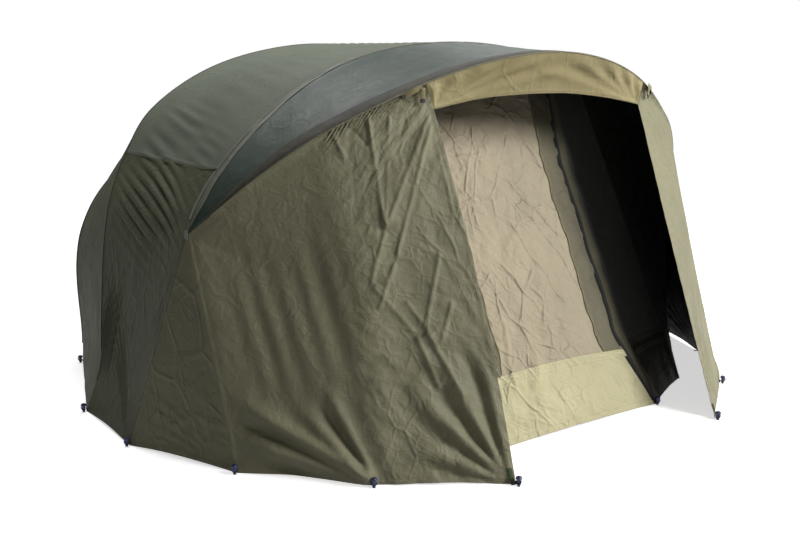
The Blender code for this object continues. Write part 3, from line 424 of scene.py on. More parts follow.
    def patch(self, name, u, v, out, ripple, seed):
        """A second layer that lies on part of the cloth, between shares of it."""
        steps_u = max(int(np.ptp(u) * self.x[:, -1].max() / 0.010), 3)
        steps_v = max(int(np.ptp(v) * self.y[-1].max() / 0.012), 3)
        across = np.linspace(*u, steps_u + 1)
        points = np.array([self.place(across, np.full(steps_u + 1, level), out)
                           for level in np.linspace(*v, steps_v + 1)])
        shares = np.meshgrid(np.linspace(0, 1, steps_u + 1), np.linspace(0, 1, steps_v + 1))
        layer = Sheet(name, points, *shares, sewn="")
        layer.push(ripple * (0.5 + 0.5 * noise(layer.x * 25, layer.y * 18, seed)), 0)
        return layer

    def area(self):
        p = self.points
        diagonal, other = p[1:, 1:] - p[:-1, :-1], p[1:, :-1] - p[:-1, 1:]
        return float(np.linalg.norm(np.cross(diagonal, other), axis=-1).sum() / 2)

    def build(self, outer, inner, held="stretched", thickness=CLOTH):
        """The sheet as a thin closed solid, outer cloth outside and inner cloth inside."""
        edge = self.near(self.banded)
        if self.banded:
            raised = smooth((edge - 0.001) / 0.003) * smooth((0.0155 - edge) / 0.003)
            self.points = self.points + self.normal * (EDGE_RISE * raised)[..., None]
        cloth_place = np.stack([self.x, self.y, edge], axis=-1)
        self.measure()
        rows, columns = self.points.shape[:2]
        shift = self.normal * thickness / 2
        layers = np.stack([self.points + shift, self.points - shift])
        layers[..., 2] = np.maximum(layers[..., 2], 0.0004)
        index = np.arange(rows * columns).reshape(rows, columns)
        quads = np.stack([index[:-1, :-1], index[:-1, 1:], index[1:, 1:], index[1:, :-1]],
                         axis=-1).reshape(-1, 4)
        turned = quads[:, [0, 3, 2, 1]]
        if self.turned:
            quads, turned = turned, quads
        under = turned + rows * columns
        rim = np.concatenate([index[0], index[1:, -1], index[-1, -2::-1], index[-2:0:-1, 0]])
        after = np.roll(rim, -1)
        sides = np.stack([after, rim, rim + rows * columns, after + rows * columns], axis=-1)
        if self.turned:
            sides = sides[:, ::-1]
        slots = np.concatenate([np.zeros(len(quads)), np.ones(len(under)), np.zeros(len(sides))])
        made = grid_object(self.name, layers.reshape(-1, 3),
                           np.concatenate([quads, under, sides]), slots, (outer, inner))
        creased = np.broadcast_to(self.creased, self.x.shape)
        for name, kind, field, values in (("cloth", "FLOAT_VECTOR", "vector", cloth_place),
                                          ("creased", "FLOAT", "value", creased)):
            data = made.data.attributes.new(name, kind, "POINT").data
            data.foreach_set(field, np.tile(values.astype(np.float32).ravel(), 2))
        clean(made)
        area = self.area()
        return made


def spread(length, step, seams):
    """Shares along a side: even steps, and close ones where an edge has a seam."""
    values = list(np.linspace(0, 1, max(int(length / step), 4) + 1))
    for distance in EDGE_LEVELS:
        share = distance / length
        values += ([share] if seams[0] else []) + ([1 - share] if seams[1] else [])
    values = np.array(sorted(values))
    return values[np.concatenate([[True], np.diff(values) > 1e-4])]


def between(name, edges, sign=1, sewn="btse", step=0.014, sag=0.0, banded="btse", rows=None):
    """A sheet between its bottom, top, start and end edges, given for the right side."""
    bottom, top, start, end = (sided(edge, sign) for edge in edges)
    middles = [edge[len(edge) // 2] for edge in (start, end, bottom, top)]
    wide = max(lengths(bottom)[-1], lengths(top)[-1], np.linalg.norm(middles[1] - middles[0]))
    tall = max(lengths(start)[-1], lengths(end)[-1], np.linalg.norm(middles[3] - middles[2]))
    u = spread(wide, step, ("s" in banded, "e" in banded))
    v = spread(tall, step, ("b" in banded, "t" in banded)) if rows is None else rows
    low, high = along_edge(bottom, u)[None], along_edge(top, u)[None]
    left, right = along_edge(start, v)[:, None], along_edge(end, v)[:, None]
    shares = np.meshgrid(u, v)
    across, up = (share[..., None] for share in shares)
    corners = ((bottom[0] * (1 - across) + bottom[-1] * across) * (1 - up)
               + (top[0] * (1 - across) + top[-1] * across) * up)
    points = low * (1 - up) + high * up + left * (1 - across) + right * across - corners
    sheet = Sheet(name, points, *shares, sewn, banded)
    if sag:
        sheet.push(sag * np.sin(math.pi * sheet.u) * np.sin(math.pi * sheet.v), 0)
    return sheet


# Meshes


def linked(name, data):
    made = bpy.data.objects.new(name, data)
    bpy.context.scene.collection.objects.link(made)
    return made


def grid_object(name, points, faces, slots, materials):
    """A mesh from arrays of points and four-sided faces."""
    mesh = bpy.data.meshes.new(name)
    mesh.vertices.add(len(points))
    mesh.vertices.foreach_set("co", np.asarray(points, np.float32).ravel())
    mesh.loops.add(len(faces) * 4)
    mesh.polygons.add(len(faces))
    mesh.loops.foreach_set("vertex_index", np.asarray(faces, np.int32).ravel())
    mesh.polygons.foreach_set("loop_start", np.arange(0, len(faces) * 4, 4, dtype=np.int32))
    mesh.update(calc_edges=True)
    for each in materials:
        mesh.materials.append(M[each])
    mesh.polygons.foreach_set("material_index", slots.astype(np.int32))
    return linked(name, mesh)


def clean(made, angle=55):
    """Joins the points of a tip, drops faces without area and keeps rims sharp."""
    mesh = bmesh.new()
    mesh.from_mesh(made.data)
    bmesh.ops.remove_doubles(mesh, verts=mesh.verts, dist=0.00002)
    bmesh.ops.dissolve_degenerate(mesh, edges=mesh.edges, dist=0.00002)
    mesh.to_mesh(made.data)
    mesh.free()
    made.data.shade_smooth()
    made.data.set_sharp_from_angle(angle=math.radians(angle))


def rings_object(name, rings, material, closed=False, angle=55):
    """Skins a stack of rings, with a cap on each end unless the stack closes on itself."""
    rings = np.asarray(rings)
    count, sides = rings.shape[:2]
    index = np.arange(count * sides).reshape(count, sides)
    low, high = (index, np.roll(index, -1, axis=0)) if closed else (index[:-1], index[1:])
    polygons = np.stack([low, np.roll(low, -1, axis=1), np.roll(high, -1, axis=1), high],
                        axis=-1).reshape(-1, 4).tolist()
    if not closed:
        polygons += [index[0][::-1].tolist(), index[-1].tolist()]
    mesh = bpy.data.meshes.new(name)
    mesh.from_pydata(rings.reshape(-1, 3).tolist(), [], polygons)
    mesh.materials.append(M[material])
    facing = bmesh.new()
    facing.from_mesh(mesh)
    bmesh.ops.recalc_face_normals(facing, faces=facing.faces)
    facing.to_mesh(mesh)
    facing.free()
    mesh.shade_smooth()
    mesh.set_sharp_from_angle(angle=math.radians(angle))
    return linked(name, mesh)


def tube(name, path, radius, material, side=X_AXIS, sides=8, closed=False):
    path, side = np.asarray(path, float), np.asarray(side, float)
    if closed:
        around = np.vstack([path[-1:], path, path[:1]])
        tangent = unit(around[2:] - around[:-2])
    else:
        tangent = unit(np.gradient(path, axis=0))
    first = unit(side - tangent * (tangent @ side)[:, None])
    second = np.cross(tangent, first)
    turn = circle(sides)[None, :, None]
    radius = np.broadcast_to(np.asarray(radius, float), (len(path),))[:, None, None]
    rings = path[:, None] + radius * (np.cos(turn) * first[:, None]
                                      + np.sin(turn) * second[:, None])
    return rings_object(name, rings, material, closed)


def strap(name, path, across, width, thickness, material, edge=0.25):
    """A flat band along a path, with eased edges. across is its width's direction."""
    path = np.asarray(path, float)
    across = np.broadcast_to(np.asarray(across, float), path.shape)
    tangent = unit(np.gradient(path, axis=0))
    across = unit(across - tangent * np.sum(across * tangent, axis=1, keepdims=True))
    up = np.cross(tangent, across)
    half = np.broadcast_to(np.asarray(width, float), (len(path),))[:, None] / 2
    ease = thickness * edge
    outline = ((-1, 0, -0.5, 1), (-1, 0, 0.5, 1), (-1, 1, 0.5, 0), (1, -1, 0.5, 0),
               (1, 0, 0.5, 1), (1, 0, -0.5, 1), (1, -1, -0.5, 0), (-1, 1, -0.5, 0))
    rings = []
    for side, inward, level, low in outline:
        height = thickness * level - math.copysign(ease, level) * low
        rings.append(path + across * (side * half + inward * ease) + up * height)
    return rings_object(name, np.stack(rings, axis=1), material)


def tape(name, path, across, width, thickness, material, flat_width=None):
    """A strap, the same as strap() makes."""
    made = strap(name, path, across, width, thickness, material)
    length, wide = float(lengths(np.asarray(path))[-1]), flat_width or width
    max(length, wide)
    min(length, wide)
    return made


def lathe(name, centre, axis, profile, material, sides=14, angle=40):
    helper = X_AXIS if abs(axis @ X_AXIS) < 0.9 else Y_AXIS
    first = unit(np.cross(axis, helper))
    second = np.cross(axis, first)
    turn = circle(sides)[:, None]
    spokes = np.cos(turn) * first + np.sin(turn) * second
    rings = [centre + axis * along + spokes * radius for along, radius in profile]
    return rings_object(name, rings, material, angle=angle)


def joined(name, parts):
    """Several closed meshes as one piece."""
    mesh = bmesh.new()
    materials = []
    for part in parts:
        slots = []
        for each in part.data.materials:
            if each not in materials:
                materials.append(each)
            slots.append(materials.index(each))
        start = len(mesh.faces)
        mesh.from_mesh(part.data)
        mesh.faces.ensure_lookup_table()
        for face in mesh.faces[start:]:
            face.material_index = slots[face.material_index]
        bpy.data.objects.remove(part)
    data = bpy.data.meshes.new(name)
    mesh.to_mesh(data)
    mesh.free()
    for each in materials:
        data.materials.append(each)
    return linked(name, data)


# Which body carries a piece


def worn(nodes):
    if nodes:
        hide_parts(*nodes)


def ride(made, body, slot, *nodes):
    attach(made, body)
    worn(nodes)


def bend(made, body, law, slot, *nodes):
    """Bakes the piece's place into its mesh and hides the nodes that it replaces. The law, of none
    of the rib's motion at its zero place and all of it one gradient's length further, is not
    applied."""
    zero, gradient = law
    tuple(zero)
    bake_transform(made)
    worn(nodes)


def swing(axis, still, moving, grip):
    """A law for cloth beside a hinge: nothing of it towards the still place, all of it from
    one grip's length on towards the moving place."""
    level = np.array([0.0, 1.0, 1.0])
    run = unit((moving - axis) * level)
    return axis, np.linalg.solve(np.array([X_AXIS, (still - axis) * level, run]),
                                 np.array([0, 0, 1 / grip]))


REAR_AXIS, BACK_AXIS = (at(0, depth, RIB_AXIS_HEIGHT) for depth in (REAR_DEPTH, BACK_DEPTH))
ROOF_SWING = swing(HUB, MIDDLE[2 * K], FRONT[2 * K], FRONT_GRIP)
PORCH_SWING = swing(HUB, CORNER["porch_front"], FRONT[2 * K], FRONT_GRIP)


def side_swing(skin):
    return swing(REAR_AXIS, skin.middle[SEAM_AT], skin.rear[REAR_AT], REAR_GRIP)


def roof_swing(skin):
    """The rear roof's law, in step along its seam with the law of the side below it."""
    low, high = skin.middle[SEAM_AT], skin.rear[REAR_AT]
    axis, gradient = side_swing(skin)
    up = rib_line("rear")[1]
    back = np.array([0.0, up[2], -up[1]])
    reach = (high - axis) @ gradient
    return low, back * reach / ((high - low) @ back)


def wall_swing(skin):
    return swing(BACK_AXIS, skin.hem_corner, skin.back[REAR_AT], BACK_GRIP)


# Materials


def feed(tree, socket, value):
    if isinstance(value, bpy.types.NodeSocket):
        tree.links.new(value, socket)
    else:
        socket.default_value = value


def add_node(tree, kind, inputs=None, **values):
    made = tree.nodes.new(kind)
    for key, value in values.items():
        setattr(made, key, value)
    for key, value in (inputs or {}).items():
        feed(tree, made.inputs[key], value)
    return made


class Shader:
    """Short calls to build a material's nodes."""

    def __init__(self, name, roughness=0.6, metallic=0.0, specular=0.5, sheen=0.0):
        self.material = bpy.data.materials.new(name)
        self.material.use_nodes = True
        self.tree = self.material.node_tree
        self.surface = self.tree.nodes["Principled BSDF"]
        for socket, value in (("Roughness", roughness), ("Metallic", metallic),
                              ("Specular IOR Level", specular), ("Sheen Weight", sheen)):
            self.surface.inputs[socket].default_value = value

    def node(self, kind, inputs=None, **values):
        return add_node(self.tree, kind, inputs, **values)

    def math(self, operation, *values):
        return self.node("ShaderNodeMath", dict(enumerate(values)),
                         operation=operation).outputs[0]

    def object_place(self):
        return self.node("ShaderNodeTexCoord").outputs["Object"]

    def noise(self, scale, detail=4.0, rough=0.55, warp=0.0, place=None):
        inputs = {"Vector": place or self.object_place(), "Scale": scale, "Detail": detail,
                  "Roughness": rough, "Distortion": warp}
        return self.node("ShaderNodeTexNoise", inputs).outputs["Fac"]

    def ranged(self, value, low, high, new_low=0.0, new_high=1.0):
        inputs = {"Value": value, "From Min": low, "From Max": high, "To Min": new_low,
                  "To Max": new_high}
        return self.node("ShaderNodeMapRange", inputs).outputs["Result"]

    def mix(self, share, first, second, kind="MIX"):
        return self.node("ShaderNodeMix", {0: share, 6: first, 7: second}, data_type="RGBA",
                         blend_type=kind).outputs[2]

    def bump(self, height, distance, strength=1.0, before=None):
        inputs = {"Height": height, "Distance": distance, "Strength": strength}
        if before is not None:
            inputs["Normal"] = before
        return self.node("ShaderNodeBump", inputs).outputs["Normal"]

    def use(self, **sockets):
        for name, socket in sockets.items():
            self.tree.links.new(socket, self.surface.inputs[name.replace("_", " ")])
        return self.material


def shade(colour, factor):
    return (*(min(channel * factor, 1.0) for channel in colour), 1)


# Turn, cells for each metre, width, depth and spread of each set of creases
CREASE_SETS = (((0.2, 0.5, 0.3), 7.0, 0.060, 0.0034, 0.47),
               ((0.9, -0.3, 1.1), 10.0, 0.080, 0.0028, 0.48),
               ((-0.7, 0.4, -0.4), 15.0, 0.100, 0.0020, 0.47),
               ((0.4, 1.0, -0.9), 24.0, 0.140, 0.0012, 0.47))
YARNS, DASHES = 4200.0, 1600.0  # turns of a wave for each metre, in radians
STITCH_ROWS, STITCH_HALF = (0.0045, 0.0125), 0.0007


def cloth(name, colour, roughness=0.62, sheen=0.15, crinkle=1.0, variation=0.10, specular=0.35,
          stitch=None):
    """Coated polyester: a fine weave, pack creases, small crinkles and sewn edges."""
    s = Shader(name, roughness, specular=specular, sheen=sheen)
    s.surface.inputs["Sheen Roughness"].default_value = 0.45
    place = s.object_place()
    cloudy = s.noise(2.3, 3.0, 0.6, 0.4, place)
    tone = s.mix(s.ranged(cloudy, 0.32, 0.68), shade(colour, 1 - variation),
                 shade(colour, 1 + variation))
    speck = s.noise(420.0, 2.0, 0.7, 0.0, place)
    tone = s.mix(s.ranged(speck, 0.3, 0.7, 0.0, 0.16), tone, shade(colour, 0.72))
    spot = s.node("ShaderNodeAttribute", attribute_name="cloth").outputs["Vector"]
    parts = s.node("ShaderNodeSeparateXYZ", {"Vector": spot}).outputs
    yarn = s.math("MULTIPLY", *(s.math("SINE", s.math("MULTIPLY", parts[axis], YARNS))
                                for axis in (0, 1)))
    normal = s.bump(yarn, 0.00012, 0.5)
    broad = s.noise(14.0, 5.0, 0.55, 0.9, place)
    normal = s.bump(broad, 0.010 * crinkle, 0.55, normal)
    normal = s.bump(s.noise(52.0, 4.0, 0.6, 1.2, place), 0.0028 * crinkle, 0.5, normal)
    # Thin creases, each set drawn out along its own direction
    creased = s.node("ShaderNodeAttribute", attribute_name="creased").outputs["Fac"]
    wandering = s.node("ShaderNodeTexNoise", {"Vector": place, "Scale": 7.0, "Detail": 1.0})
    bent = s.node("ShaderNodeVectorMath",
                  {0: wandering.outputs["Color"], 1: (0.035,) * 3, 2: place},
                  operation="MULTIPLY_ADD").outputs[0]
    for turn, scale, width, depth, seen in CREASE_SETS:
        turned = s.node("ShaderNodeMapping", {"Vector": bent, "Rotation": turn}).outputs[0]
        drawn = s.node("ShaderNodeVectorMath", {0: turned, 1: (1.0, 1.0, 0.20)},
                       operation="MULTIPLY").outputs[0]
        cells = s.node("ShaderNodeTexVoronoi", {"Vector": drawn, "Scale": scale},
                       feature="DISTANCE_TO_EDGE").outputs["Distance"]
        patches = s.noise(scale * 0.30, 2.0, 0.5, 0.0, turned)
        faded = s.math("MULTIPLY", s.ranged(cells, 0.0, width, 1.0, 0.0),
                       s.ranged(patches, seen, seen + 0.14))
        normal = s.bump(s.math("MULTIPLY", faded, creased), depth * crinkle, 0.8, normal)
    # The sewn edge: two rows of stitches beside a slight groove, where painted shade darkens the
    # cloth
    dash = s.ranged(s.math("SINE", s.math("MULTIPLY", s.math("ADD", parts[0], parts[1]),
                                          DASHES)), -0.1, 0.2)
    rows = [s.math("COMPARE", parts[2], distance, STITCH_HALF) for distance in STITCH_ROWS]
    stitches = s.math("MULTIPLY", s.math("ADD", *rows), dash)
    tone = s.mix(s.math("MULTIPLY", stitches, 0.75), tone,
                 shade(stitch or colour, 1.5 if stitch is None else 1.0))
    # Painted shade: the cloth's colour is darkened within 2.2 mm of a seam
    groove_shade = s.ranged(parts[2], 0.0, 0.0022, 0.72, 1.0)
    groove_shade_tint = s.node("ShaderNodeCombineColor", {0: groove_shade, 1: groove_shade, 2: groove_shade}).outputs[0]
    return s.use(Base_Color=s.mix(1.0, tone, groove_shade_tint, "MULTIPLY"),
                 Normal=s.bump(stitches, 0.0006, 0.8, normal),
                 Roughness=s.ranged(broad, 0.3, 0.7, roughness - 0.05, roughness + 0.06))


def plastic(name, colour, roughness=0.42):
    s = Shader(name, roughness)
    grain = s.noise(900.0, 3.0)
    wear = s.noise(60.0, 4.0, 0.65)
    tone = s.mix(s.ranged(wear, 0.42, 0.75), shade(colour, 0.9), shade(colour, 1.5))
    return s.use(Base_Color=tone, Normal=s.bump(grain, 0.0002, 0.5),
                 Roughness=s.ranged(wear, 0.3, 0.7, roughness - 0.06, roughness + 0.12))


def metal(name, colour, roughness, metallic):
    s = Shader(name, roughness, metallic)
    scuff = s.noise(140.0, 5.0, 0.7, 0.6)
    tone = s.mix(s.ranged(scuff, 0.4, 0.7), shade(colour, 0.85), shade(colour, 1.2))
    return s.use(Base_Color=tone, Normal=s.bump(scuff, 0.0002, 0.4),
                 Roughness=s.ranged(scuff, 0.3, 0.7, roughness - 0.08, roughness + 0.15))


def webbing(name, colour):
    """Woven tape: ribs across it and a coarse weave."""
    s = Shader(name, 0.8, specular=0.2, sheen=0.3)
    yarns = s.node("ShaderNodeTexVoronoi",
                   {"Vector": s.object_place(), "Scale": 700.0}).outputs["Distance"]
    fuzz = s.noise(260.0, 3.0, 0.7)
    tone = s.mix(s.ranged(fuzz, 0.35, 0.7), shade(colour, 0.75), shade(colour, 1.2))
    return s.use(Base_Color=tone, Normal=s.bump(yarns, 0.0006, 0.9))


M = {
    "wrap": cloth("wrap_cloth", (0.104, 0.109, 0.066), 0.62, 0.02, specular=0.12),
    # The front sides and gussets: the sides' cloth painted lighter and yellower, as painted light
    # from the lamps in front
    "porch": cloth("porch_cloth", (0.204, 0.194, 0.118), 0.58, 0.12, crinkle=1.3),
    # The rear roof: the sides' cloth painted lighter and a bluer green, as painted sheen and
    # reflection of the sky above
    "roof": cloth("roof_cloth", (0.140, 0.158, 0.116), 0.58, 0.05, crinkle=0.25, specular=0.20),
    # The roof's front bay: the roof's cloth painted darker, as painted shade for the bay that gets
    # less light from above
    "roof_front": cloth("roof_front_cloth", (0.040, 0.061, 0.047), 0.44, 0.04, crinkle=0.2,
                        specular=0.30),
    "header": cloth("header_cloth", (0.275, 0.232, 0.110), 0.56, 0.05, crinkle=0.45),
    "door": cloth("door_cloth", (0.410, 0.350, 0.245), 0.66, 0.05, crinkle=2.0, variation=0.06),
    "mud": cloth("mud_band_cloth", (0.520, 0.480, 0.290), 0.60, 0.05, crinkle=1.6,
                 variation=0.06),
    "band": cloth("band_cloth", (0.150, 0.142, 0.098), 0.62, 0.10, stitch=(0.42, 0.38, 0.20)),
    "dark": cloth("inner_coating", (0.012, 0.012, 0.012), 0.55, 0.0, crinkle=0.8, specular=0.2),
    "window": cloth("window_mesh", (0.090, 0.090, 0.084), 0.50, 0.05, crinkle=0.5),
    "skin": cloth("inner_skin_cloth", (0.190, 0.175, 0.125), 0.68, 0.10),
    "sheet": cloth("groundsheet_cloth", (0.050, 0.054, 0.046), 0.60, 0.05),
    "sleeve": cloth("sleeve_cloth", (0.210, 0.222, 0.170), 0.58, 0.10, crinkle=0.5),
    "edge": cloth("door_edge_cloth", (0.140, 0.125, 0.078), 0.62, 0.10, crinkle=1.2,
                  stitch=(0.55, 0.48, 0.25)),
    "frame_cloth": cloth("window_frame_cloth", (0.022, 0.022, 0.016), 0.60, 0.05),
    "frame_edge": cloth("window_edge_cloth", (0.115, 0.106, 0.066), 0.60, 0.08,
                        stitch=(0.25, 0.23, 0.12)),
    "sill": cloth("window_sill_cloth", (0.050, 0.048, 0.032), 0.60, 0.08),
    # Brownish cloth painted dark as shade: the band where the roof turns down over the front rib,
    # and the pipings along the middle and rear ribs
    "shadow": cloth("edge_tape", (0.060, 0.055, 0.034), 0.70, 0.05),
    "piping": cloth("door_piping_cloth", (0.330, 0.285, 0.140), 0.62, 0.08),
    "tube": metal("frame_tube", (0.050, 0.054, 0.050), 0.38, 0.6),
    "hub": plastic("hub_plastic", (0.020, 0.022, 0.020)),
    "bolt": metal("bolt_steel", (0.55, 0.55, 0.53), 0.28, 1.0),
    "peg": plastic("peg_plastic", (0.016, 0.028, 0.110), 0.32),
    "tip": plastic("black_plastic", (0.012, 0.012, 0.013), 0.40),
    "webbing": webbing("corner_webbing", (0.075, 0.115, 0.055)),
    "elastic": webbing("black_elastic", (0.012, 0.012, 0.013)),
    "tie": webbing("tie_webbing", (0.270, 0.235, 0.120)),
    "zip": webbing("zip_tape", (0.008, 0.008, 0.008)),
    "teeth": plastic("zip_teeth", (0.010, 0.010, 0.010), 0.65),
}


# Sheets that both skins have


def roof_sheet(skin, name, **how):
    side = line([skin.middle[SEAM_AT], skin.rear[REAR_AT]], 40)
    return between(name, (side, side * FLIP, skin.middle[SEAM_AT:-SEAM_AT],
                          skin.rear[REAR_AT:-REAR_AT]), **how)


def side_sheet(skin, name, sign, **how):
    """The rear side, from the leg and the middle rib to the rear rib."""
    leg = line([skin.side_foot, skin.hub], skin.leg_steps)
    return between(name, (hem(skin.side_foot, skin.rear_foot),
                          line([skin.middle[SEAM_AT], skin.rear[REAR_AT]], 40),
                          np.vstack([leg, skin.middle[1:SEAM_AT + 1]]),
                          skin.rear[:REAR_AT + 1]), sign, **how)


def bay_sheets(skin, name, banded, **how):
    """The bay behind the rear rib in two halves, with the body and the law of each."""
    low = hem(skin.rear_foot, skin.back_foot)
    half = len(low) // 2
    middle = (skin.rear + skin.back) / 2
    fade = foot_fade(len(middle))
    middle = middle + (low[half] - middle[0]) * fade
    middle = middle + (low[half] * FLIP - middle[-1]) * fade[::-1]
    still = middle[len(middle) // 2]
    for end, edge, ribs, moving, axis, grip, seams in (
            ("front", low[:half + 1], (skin.rear, middle), skin.rear, REAR_AXIS, REAR_GRIP,
             banded[0]),
            ("rear", low[half:], (middle, skin.back), skin.back, BACK_AXIS, BACK_GRIP,
             banded[1])):
        sheet = between(f"{name}_{end}", (edge, edge * FLIP, *ribs), sewn="se", banded=seams,
                        **how)
        body = "rear_rib" if end == "front" else "back_rib"
        yield sheet, body, swing(axis, still, moving[REAR_AT], grip)


def wall_sheet(skin, name, **how):
    """The rear wall, drawn to the foot of the back rib on each side."""
    side = hem(skin.back_foot, skin.hem_corner, 14 * K)
    middle = hem(skin.hem_corner, skin.hem_corner * FLIP, 14 * K)
    low = np.vstack([side, middle[1:], (side[:-1] * FLIP)[::-1]])
    return between(name, (tip(skin.back[0]), tip(skin.back[0]) * FLIP, skin.back, low),
                   sewn="s", **how)


# Roof


def roof_front():
    sheet = between("roof_front_cloth", (tip(HUB), tip(HUB) * FLIP, MIDDLE, FRONT), step=0.013,
                    sag=-0.002, banded="se")
    for sign in (-1, 1):
        spots = [sided(at(*spot), sign) for spot in ((0.80, 0.72, 1.30), (0.55, 0.62, 1.42))]
        sheet.strains(spots, sign, ((0.030, 0.0016, 11, 0.10, 3, 0.04),))
    sheet.push(sheet.creases(0.10, 0.0008, 13, count=7), 0.06)
    sheet.billow(0.0022, 9, 3, 5, 0.06)
    # Outside, the darker roof cloth is painted shade
    bend(sheet.build("roof_front", "dark"), "front_rib", ROOF_SWING, "roof_cloth",
         "wrap_roof_front")


# Where the photograph shows the ends of wrinkles: on the roof and on the left rear side
ROOF_SPOTS = ((148, 136), (168, 178), (188, 154), (203, 174), (235, 70), (300, 100), (380, 46),
              (400, 58))
SIDE_SPOTS = ((128, 172), (166, 228), (158, 176), (184, 226), (101, 370), (116, 290))


def roof_rear():
    sheet = roof_sheet(WRAP, "roof_rear_cloth", step=0.0125, sag=-0.002, banded="bt")
    places = [sheet.pixel(*spot) * FLIP for spot in ROOF_SPOTS]
    for sign in (-1, 1):
        sheet.strains([sided(place, sign) for place in places], sign,
                      ((0.046, 0.0080, 21, 0.17, 8, 0.012), (0.038, 0.0045, 23, 0.12, 8, 0.015),
                       (0.085, 0.0012, 31, 0.30, 4, 0.05), (0.050, 0.0030, 41, 0.45, 4, 0.02)))
    sheet.billow(0.0030, 5, 4, 6, 0.10)
    bend(sheet.build("roof", "dark"), "rear_rib", roof_swing(WRAP), "roof_cloth",
         "wrap_roof_rear")


# Sides


def side_rear(side, sign):
    how = {"sewn": "tse", "step": 0.0088, "sag": -0.010}
    seen = side_sheet(WRAP, "seen", -1, **how)
    spots = [sided(seen.pixel(*spot) * FLIP, sign) for spot in SIDE_SPOTS]
    sheet = side_sheet(WRAP, f"side_rear_cloth_{side}", sign, **how)
    sheet.strains(spots, sign, ((0.046, 0.0095, 51, 0.22, 9, 0.010),
                                (0.038, 0.0070, 53, 0.14, 9, 0.012),
                                (0.036, 0.0090, 55, 0.10, 9, 0.010)))
    peg, up = sided(CORNER["side_middle"], sign), sided(REAR[REAR_AT - 30], sign)
    sheet.push(sheet.fan(peg, up, 0.42, 6, 0.55, 0.0110, 57), 0.03)
    sheet.billow(0.003, 4, 4, 58, 0.08)
    bend(sheet.build("wrap", "dark"), "rear_rib", side_swing(WRAP), "wrap_cloth",
         f"wrap_side_rear_{side}")


def gusset(side, sign):
    front, rear = CORNER["side_front"], CORNER["side_middle"]
    sheet = between(f"gusset_cloth_{side}",
                    (hem(front, rear), tip(HUB), line([front, HUB], 40), line([rear, HUB], 40)),
                    sign, sewn="se", step=0.011, banded="bse")
    for corner, toward, folds in ((front, at(1.50, 1.0, 0.16), (0.55, 4, 0.34, 0.0075, 61)),
                                  (rear, at(1.35, 0.8, 0.12), (0.5, 3, 0.25, 0.004, 62))):
        sheet.push(sheet.fan(sided(corner, sign), sided(toward, sign), *folds), 0.02)
    sheet.billow(0.0035, 5, 3, 63, 0.08)
    ride(sheet.build("porch", "dark"), "root", "wrap_cloth", f"wrap_gusset_{side}")


def soften(points, column, reach=38, rounds=140):
    """Rounds the cloth over a ridge."""
    low, high = column - reach, column + reach + 1
    weight = np.cos(np.linspace(-math.pi / 2, math.pi / 2, high - low))[None, :, None]
    for _ in range(rounds):
        part = points[:, low - 1:high + 1]
        middle = (part[:, :-2] + part[:, 2:]) / 2
        points[:, low:high] += (middle - points[:, low:high]) * weight
    return points


def front_side(side, sign):
    """The long front side: from the leg seam, round the soft ridge, to the porch's edge.
    Gives the column of the ridge too."""
    start = np.vstack([line([CORNER["side_front"], HUB], 5 * K), FRONT[1:RIDGE_AT + 1]])
    ridge = line([CORNER["porch_back"], FRONT[RIDGE_AT]], 11 * K)
    low_edge = line([CORNER["porch_front"], HEADER_END], 8 * K)
    bow = np.sin(math.pi * np.linspace(0, 1, len(low_edge)))[:, None]
    toward = unit(CORNER["porch_front"] - CORNER["porch_back"])
    end = np.vstack([low_edge + toward * 0.022 * bow,
                     line([HEADER_END, FRONT[HEADER_AT]], 3 * K)[1:]])
    step = 0.0066
    rows = spread(lengths(ridge)[-1], step, (True, False))
    rear = between("rear", (hem(CORNER["side_front"], CORNER["porch_back"]),
                            tip(FRONT[RIDGE_AT]), start, ridge),
                   sign, step=step, sag=-0.010, banded="s", rows=rows)
    front = between("front", (hem(CORNER["porch_back"], CORNER["porch_front"]),
                              FRONT[RIDGE_AT:HEADER_AT + 1], ridge, end),
                    sign, step=step, banded="e", rows=rows)
    column = rear.points.shape[1] - 1
    points = soften(np.concatenate([rear.points, front.points[:, 1:]], axis=1), column)
    shares = np.meshgrid(np.linspace(0, 1, points.shape[1]), rows)
    return Sheet(f"front_cloth_{side}", points, *shares, "ts", "bse"), column


# Folds on the left front side, by where the photograph shows their ends: width and height
PACK_FOLDS = (((367, 110), (384, 231), 0.0085, 0.0075), ((389, 113), (385, 232), 0.007, 0.0055),
              ((431, 113), (384, 231), 0.009, 0.0060), ((431, 121), (394, 262), 0.008, 0.0065),
              ((384, 231), (371, 285), 0.008, 0.0055), ((371, 285), (415, 335), 0.009, 0.0050),
              ((394, 262), (378, 312), 0.008, 0.0045), ((415, 335), (440, 390), 0.010, 0.0060),
              ((440, 250), (425, 330), 0.008, 0.0050), ((425, 330), (465, 400), 0.010, 0.0070),
              ((452, 300), (440, 345), 0.008, 0.0050), ((405, 300), (440, 345), 0.008, 0.0045),
              ((352, 128), (367, 145), 0.008, -0.0040), ((330, 128), (345, 160), 0.010, 0.0050))
# Folds that run out of the two pegs of the porch: far end, width, height and flare
PEG_FOLDS = (((376, 484), (((225, 395), 0.020, 0.022, 1.4), ((226, 412), 0.016, -0.020, 1.4),
                           ((228, 432), 0.022, 0.017, 1.2), ((250, 462), 0.016, -0.012, 1.2),
                           ((290, 472), 0.014, 0.009, 1.0), ((292, 400), 0.016, 0.011, 1.2),
                           ((316, 395), 0.013, -0.011, 1.1), ((322, 380), 0.013, 0.010, 1.1),
                           ((300, 160), 0.045, -0.008, 1.6), ((345, 150), 0.060, 0.012, 1.6))),
             ((511, 484), (((400, 380), 0.014, 0.012, 1.3), ((404, 412), 0.013, -0.009, 1.2),
                           ((402, 440), 0.014, 0.010, 1.2), ((408, 462), 0.012, -0.007, 1.0),
                           ((425, 372), 0.013, -0.010, 1.2), ((436, 352), 0.014, 0.010, 1.2),
                           ((458, 330), 0.013, -0.008, 1.0), ((482, 350), 0.012, 0.007, 1.0))))
RIGHT_SHARE = 0.35  # how strong the folds are on the right side


